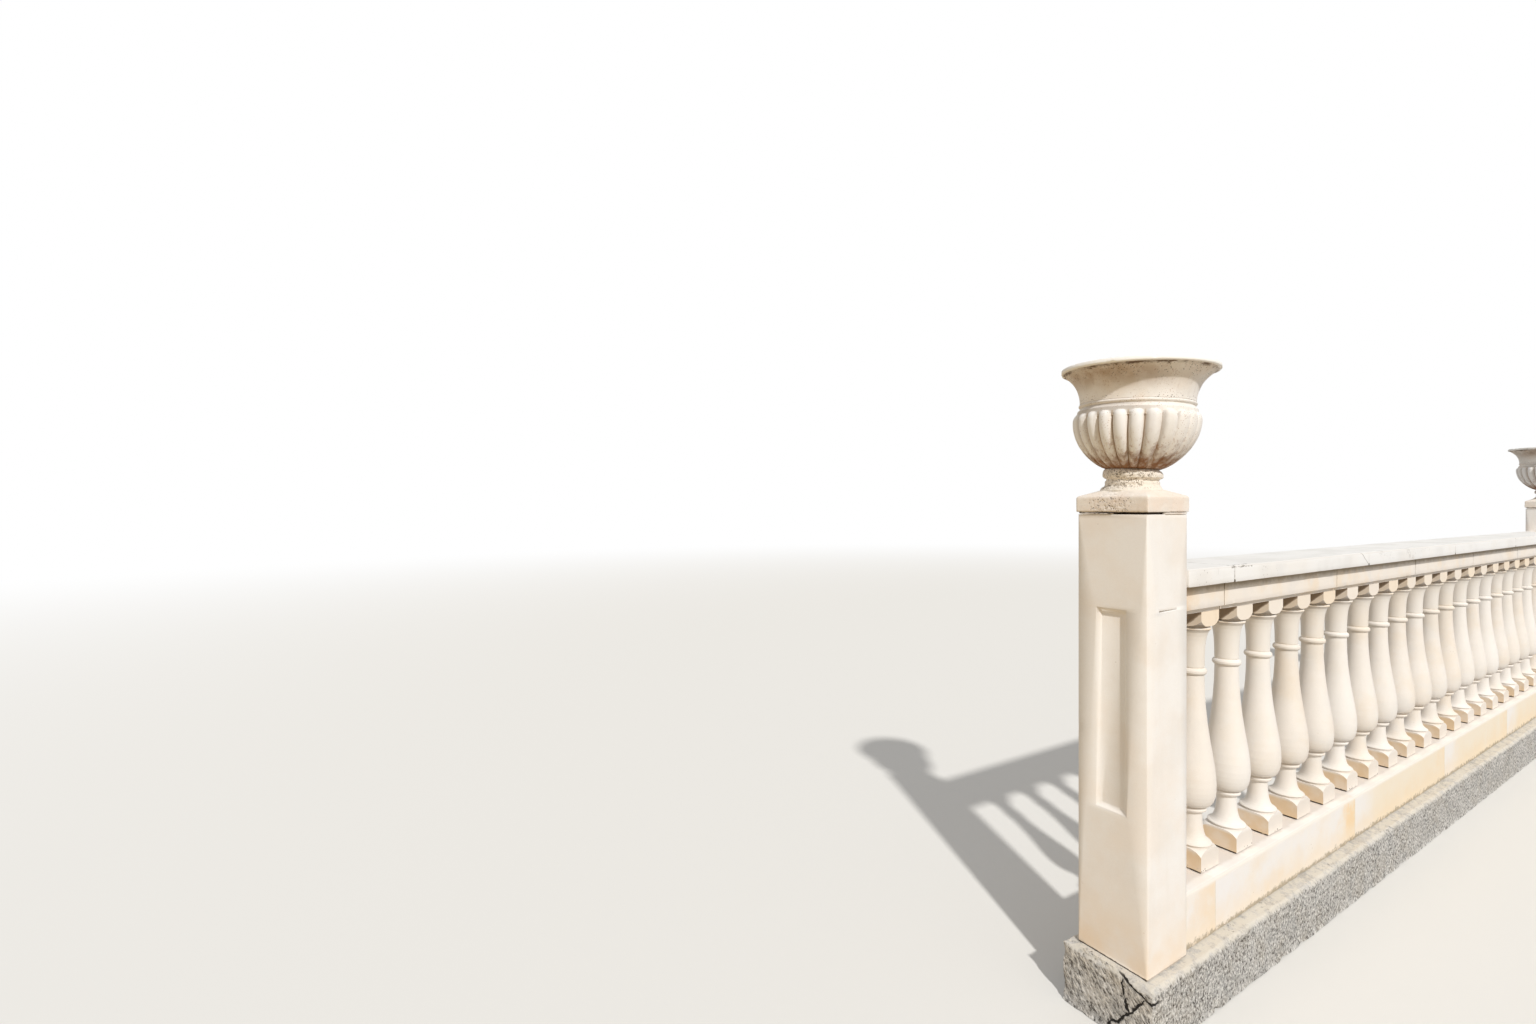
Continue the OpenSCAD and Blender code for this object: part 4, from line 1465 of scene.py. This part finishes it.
@dataclass
class Urns:
    """The urns: an eroded stem and ring, and a gadrooned bowl with a spreading rim."""

    stone: UrnStone = UrnStone()
    pitted: PittedStone = PittedStone()
    ribs: Gadroons = Gadroons()
    bowl_r: float = 0.154
    foot_r: float = 0.065
    valley: float = 0.110
    washed_valley: float = 0.025
    pinch: float = 0.98
    fading: float = 0.88
    bead_r: float = 0.005
    rim_h: float = 0.109
    rim_r: float = 0.191
    lip_h: float = 0.013
    wall: float = 0.022
    rim_wall: float = 0.020
    floor_z: float = 0.044
    floor_r: float = 0.038
    lean_deg: float = 2.5
    lean_towards_deg: float = -60.0
    stem_voxel_mm: float = 2.0
    skirt_mm: float = 11.0
    ring_mm: float = 30.0
    sag_mm: float = 33.0
    waist_mm: float = 34.0
    crest_mm: float = 41.0

    @property
    def groove_z(self) -> float:
        """Height of the groove under the bead, over the bowl's underside."""
        return self.ribs.height + 0.015

    @property
    def top_z(self) -> float:
        """Height of the rim's top over the bowl's underside."""
        return self.groove_z + self.rim_h

    @property
    def ends_z(self) -> float:
        """Height where the gadroons are widest and their round ends begin."""
        return self.ribs.height - self.ribs.end_h

    def crown_r(self, z: float) -> float:
        """Radius over the gadroons' crowns at a height."""
        widest = self.ends_z
        return self.foot_r + (self.bowl_r - self.foot_r) * (1 - ((widest - z) / widest) ** 2 * 0.999) ** 0.75

    def shoulder_r(self, z: float) -> float:
        """Radius of the plain shoulder behind the gadroons' ends.

        Args:
            z: Height over the bowl's underside.

        Returns:
            The radius.
        """
        turn = self.ribs.height + 0.008
        fall = 0.1 * max(0.0, min(z, turn) - self.ribs.height + self.ribs.end_h)
        return self.bowl_r - 0.008 - fall - 0.007 * max(0.0, z - turn) / (self.groove_z - turn)

    def washed(self, a: float) -> float:
        """How far the weather has washed the gadroons out in a direction in degrees, from 0 to 1."""
        off = abs((a - self.ribs.washed_deg + 180) % 360 - 180)
        return held((62 - off) / 24)

    def gadroon_r(self, a: float, t: float, z: float) -> float:
        """Radius of the bowl across and along a gadroon.

        Args:
            a: Direction in degrees.
            t: Place across it, from -1 in one valley to 1 in the next.
            z: Height over the bowl's underside.

        Returns:
            The radius.
        """
        end = self.ribs.height - self.ribs.end_h * (1 - math.sqrt(max(0.0, 1 - t * t)))
        plain = self.shoulder_r(z)
        if z >= end:
            return plain
        low = math.sqrt(1 - self.pinch ** 2)
        swell = (math.sqrt(1 - (self.pinch * t) ** 2) - low) / (1 - low)
        crown = self.crown_r(z)
        valley = self.valley - (self.valley - self.washed_valley) * self.washed(a)
        full = crown - valley * crown * (1 - swell)
        share = z / end
        past = (share - self.fading) / (1 - self.fading)
        fade = 1.0 if past < 0 else math.sqrt(max(0.0, 1 - past ** 2))
        plain = min(full, plain)
        return plain + (full - plain) * fade

    def half_section(self) -> list[Pair]:
        """The bowl's half section, from the axis underneath, out and up over the rim, and in to the floor.

        Returns:
            Radius and height of each point.
        """
        groove, top, rim = self.groove_z, self.top_z, self.rim_r
        lip, bead = top - self.lip_h, groove + 0.008
        neck = self.bowl_r - 0.0155
        inner, inner_rim = neck - self.wall, rim - self.rim_wall
        heights = [0.004 * k for k in range(1, 29)] + [0.112 + 0.0018 * k for k in range(1, 28)]
        rows = [(self.crown_r(min(z, self.ends_z)), z) for z in heights if z < groove - 0.001]
        return [
            (0.0, 0.0), (0.03, 0.0), (self.foot_r, 0.0), *rows,
            (neck - 0.0005, groove), (neck - 0.002, groove + 0.002),
            *arc((neck - 0.0025, bead), self.bead_r, -80, 80, 8),
            *curve((neck, bead + 0.005), (neck + 0.001, bead + 0.035),
                   (neck + 0.0115, lip - 0.021), (rim - 0.008, lip - 0.001), 18),
            (rim - 0.0050, lip - 0.0002), (rim - 0.0036, lip), (rim - 0.0024, lip + 0.0007),
            (rim - 0.0014, lip + 0.0020), (rim - 0.0010, lip + 0.0038), (rim - 0.0011, lip + 0.006),
            (rim - 0.0016, top - 0.005), *arc((rim - 0.0050, top - 0.003), 0.003, 25, 90, 3),
            (rim - 0.010, top), (inner_rim + 0.004, top),
            *curve((inner_rim, top - 0.001), (rim - 0.046, lip - 0.006),
                   (inner + 0.004, bead + 0.040), (inner + 0.001, bead + 0.006), 10),
            (inner, bead), (inner, 0.120), (inner, 0.100),
            *arc((inner - self.floor_r, self.floor_z + self.floor_r), self.floor_r, 0, -80, 6),
            (inner - 0.060, self.floor_z), (0.03, self.floor_z), (0.0, self.floor_z),
        ]

    def stand(self, i: int) -> Matrix:
        """Where an urn stands on its pillar, the near one leaning.

        Args:
            i: The pillar's number.

        Returns:
            A matrix from the urn's own axis to the run.
        """
        low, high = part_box(f"pillar_cap_{i}")
        tilt = Matrix.Rotation(math.radians(self.lean_deg if i == 1 else 0.0), 4, "Y")
        turn = Matrix.Rotation(math.radians(self.lean_towards_deg), 4, "Z")
        return Matrix.Translation(((low.x + high.x) / 2, 0, CAP_TOP)) @ turn @ tilt @ turn.inverted()

    def chip_rim(self, bm: bmesh.types.BMesh, seed: float) -> None:
        """Chips the rim of a bowl.

        Args:
            bm: The bowl's mesh.
            seed: Shifts the chips.
        """
        for v in bm.verts:
            r = math.hypot(v.co.x, v.co.y)
            if r > self.rim_r - 0.012 and v.co.z > self.top_z - self.lip_h - 0.004:
                chip = max(0.0, wander(v.co, 0.03, seed) - 0.28) * 0.009
                v.co.x, v.co.y = v.co.x * (1 - chip / r), v.co.y * (1 - chip / r)
                v.co.z += chip * (0.4 if v.co.z < self.top_z - self.lip_h / 2 else -0.4)

    def build_bowl(self, i: int) -> bmesh.types.BMesh:
        """Spins one bowl, pushes its gadroons out and weathers it.

        Args:
            i: The pillar's number.

        Returns:
            Its mesh.
        """
        bm = bmesh.new()
        points = [bm.verts.new((r, 0.0, z)) for r, z in self.half_section()]
        edges = [bm.edges.new(pair) for pair in zip(points, points[1:])]
        bmesh.ops.spin(bm, geom=[*points, *edges], cent=(0, 0, 0), axis=(0, 0, 1), angle=2 * math.pi,
                       steps=self.ribs.count * 16, use_merge=True)
        bmesh.ops.remove_doubles(bm, verts=bm.verts, dist=1e-6)
        for v in bm.verts:
            r = math.hypot(v.co.x, v.co.y)
            outer = r > self.foot_r - 1e-4 and (v.co.z < self.floor_z - 0.001 or r > self.bowl_r - 0.0365)
            if v.co.z < self.groove_z - 5e-4 and outer:
                a = math.degrees(math.atan2(v.co.y, v.co.x)) - self.ribs.turn_deg
                t = 2 * ((a * self.ribs.count / 360) % 1.0) - 1
                new = self.gadroon_r(a + self.ribs.turn_deg, t, v.co.z)
                v.co.x, v.co.y = v.co.x * new / r, v.co.y * new / r
        bmesh.ops.recalc_face_normals(bm, faces=bm.faces)
        bm.normal_update()
        undulate(bm.verts, 40, 0.9, 80.0 + i)
        undulate(bm.verts, 9, 0.4, 90.0 + i)
        self.chip_rim(bm, 33.0 + i)
        raised = Matrix.Translation((0, 0, self.stone.under))
        bmesh.ops.transform(bm, verts=bm.verts, matrix=self.stand(i) @ raised)
        return bm

    def build_stem(self, i: int) -> bmesh.types.BMesh:
        """Erodes one stem and its ring.

        Args:
            i: The pillar's number.

        Returns:
            Its mesh.
        """
        node = f"urn_stem_{i}"
        low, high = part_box(node)
        centre = (low + high) / 2
        bm = softened(node, self.stem_voxel_mm)
        for v in bm.verts:
            rise = (v.co.z - low.z) / MM
            ring = held((rise - self.ring_mm) / 6)
            lump = 0.5 + 0.5 * wander(v.co, 0.030, 6.0 + i)
            spread = 4.0 * held((self.waist_mm - rise) / 8) + 9.0 * max(0.0, 1 - rise / self.skirt_mm) ** 1.6
            way = Vector((v.co.x - centre.x, v.co.y - centre.y, 0))
            if way.length > 0.04:
                v.co += way.normalized() * (spread + 1.4 * ring * lump) * MM
                raised = 7.5 * max(0.0, (rise - self.crest_mm) / 10) * ring
                sagged = 3.2 * max(0.0, 1 - abs(rise - self.sag_mm) / 6) * lump
                v.co.z += (raised - sagged) * MM
                v.co.z -= 6.0 * max(0.0, 1 - rise / 5) * MM
        bm.normal_update()
        erode(bm.verts, 100.0 + i, rough_mm=2.0, pit_mm=3.2)
        return bm

    def dress(self) -> None:
        """Builds, paints and places bowls and stems."""
        paint, pitted = self.stone.paint(), self.pitted.paint()
        for i in range(1, BAYS + 2):
            placed(self.build_bowl(i), f"gadrooned_bowl_{i}", paint, self.stone, f"urn_bowl_{i}",
                   sharp_deg=50)
            placed(self.build_stem(i), f"eroded_stem_{i}", pitted, self.pitted, f"urn_stem_{i}", sharp_deg=75)


@dataclass
class Studio:
    """The pale floor, the lamps and the camera."""

    eye: Triple = (-6.530561, -1.019175, 1.370)
    yaw_deg: float = 31.28443
    pitch_deg: float = 0.36438
    roll_deg: float = -0.17608
    lens_px: float = 661.038
    width_px: float = 1536.0
    sun_from: Triple = (-0.38, -0.92, 0.88)
    sun: float = 2.57
    sky: float = 0.46
    floor_half: float = 150.0
    fading: Pair = (5.5, 22.0)
    tint_x: Pair = (-5.15, -4.85)

    def floor(self) -> None:
        """Lays a wide pale floor that fades into white and throws warm light up before the run."""
        bm = bmesh.new()
        bmesh.ops.create_grid(bm, x_segments=2, y_segments=2, size=self.floor_half)
        mesh = as_mesh(bm, "floor")
        in_scene("floor", mesh)
        material = bpy.data.materials.new("pale_floor")
        g = Graph(material)
        place = g.add("TexCoord").outputs["Object"]
        away = g.value("VectorMath", {0: place}, "Value", operation="LENGTH")
        near = g.add("BsdfDiffuse", {"Color": "ECEAE6"}).outputs[0]
        far = g.add("Emission", {"Color": "FFFFFF"}).outputs[0]
        shown = g.add("MixShader", {0: away.span(*self.fading), 1: near, 2: far}).outputs[0]
        x = g.value("SeparateXYZ", {0: place}, "X")
        side = g.value("MapRange", {"Value": x, "From Min": self.tint_x[0], "From Max": self.tint_x[1]})
        bounce = g.add("BsdfDiffuse", {"Color": g.mix(side, "CBB48B", "ABA9A6")}).outputs[0]
        seen = g.add("LightPath").outputs["Is Camera Ray"]
        g.add("OutputMaterial", {0: g.add("MixShader", {0: seen, 1: bounce, 2: shown}).outputs[0]})
        mesh.materials.append(material)

    def lamps(self) -> None:
        """Sets one high front lamp and an even sky, which is plain white where it is seen."""
        sun = bpy.data.lights.new("front_lamp", "SUN")
        sun.energy = self.sun
        sun.angle = math.radians(2.0)
        sun.color = linear("FFFDF9")[:3]
        lamp = in_scene("front_lamp", sun)
        lamp.rotation_mode = "QUATERNION"
        lamp.rotation_quaternion = Vector(self.sun_from).to_track_quat("Z", "Y")
        world = bpy.data.worlds.new("studio_sky")
        bpy.context.scene.world = world
        g = Graph(world)
        rays = g.add("LightPath").outputs
        camera, glossy, through = (Field(g, rays[name])
                                   for name in ("Is Camera Ray", "Is Glossy Ray", "Is Transmission Ray"))
        sky, white = (g.add("Background", {"Color": "FFFFFF", "Strength": strength}).outputs[0]
                      for strength in (self.sky, 1.0))
        pick = g.add("MixShader", {0: camera | glossy | through, 1: sky, 2: white})
        g.add("OutputWorld", {0: pick.outputs[0]})

    def camera(self) -> None:
        """Sets the camera at the photograph's eye point and angle."""
        data = bpy.data.cameras.new("eye")
        data.sensor_fit = "HORIZONTAL"
        data.sensor_width = 36.0
        data.lens = self.lens_px / self.width_px * data.sensor_width
        data.clip_start = 0.01
        data.clip_end = 500.0
        eye = in_scene("eye", data)
        turn = (Matrix.Rotation(math.radians(-self.yaw_deg), 4, "Z")
                @ Matrix.Rotation(math.radians(90 - self.pitch_deg), 4, "X")
                @ Matrix.Rotation(math.radians(self.roll_deg), 4, "Z"))
        eye.matrix_world = Matrix.Translation(self.eye) @ turn
        bpy.context.scene.camera = eye

    def dress(self) -> None:
        """Sets up the whole studio."""
        bpy.context.scene.view_settings.view_transform = "Standard"
        self.floor()
        self.lamps()
        self.camera()


def main() -> None:
    """Builds and dresses every sub-assembly in order."""
    logging.basicConfig(level=logging.INFO, format="%(name)s %(message)s")
    for part in (Footing(), Curbs(), Balusters(), Rail(), Pillars(), Urns(), Studio()):
        log.info("%s", type(part).__name__)
        part.dress()


if __name__ == "__main__":
    main()
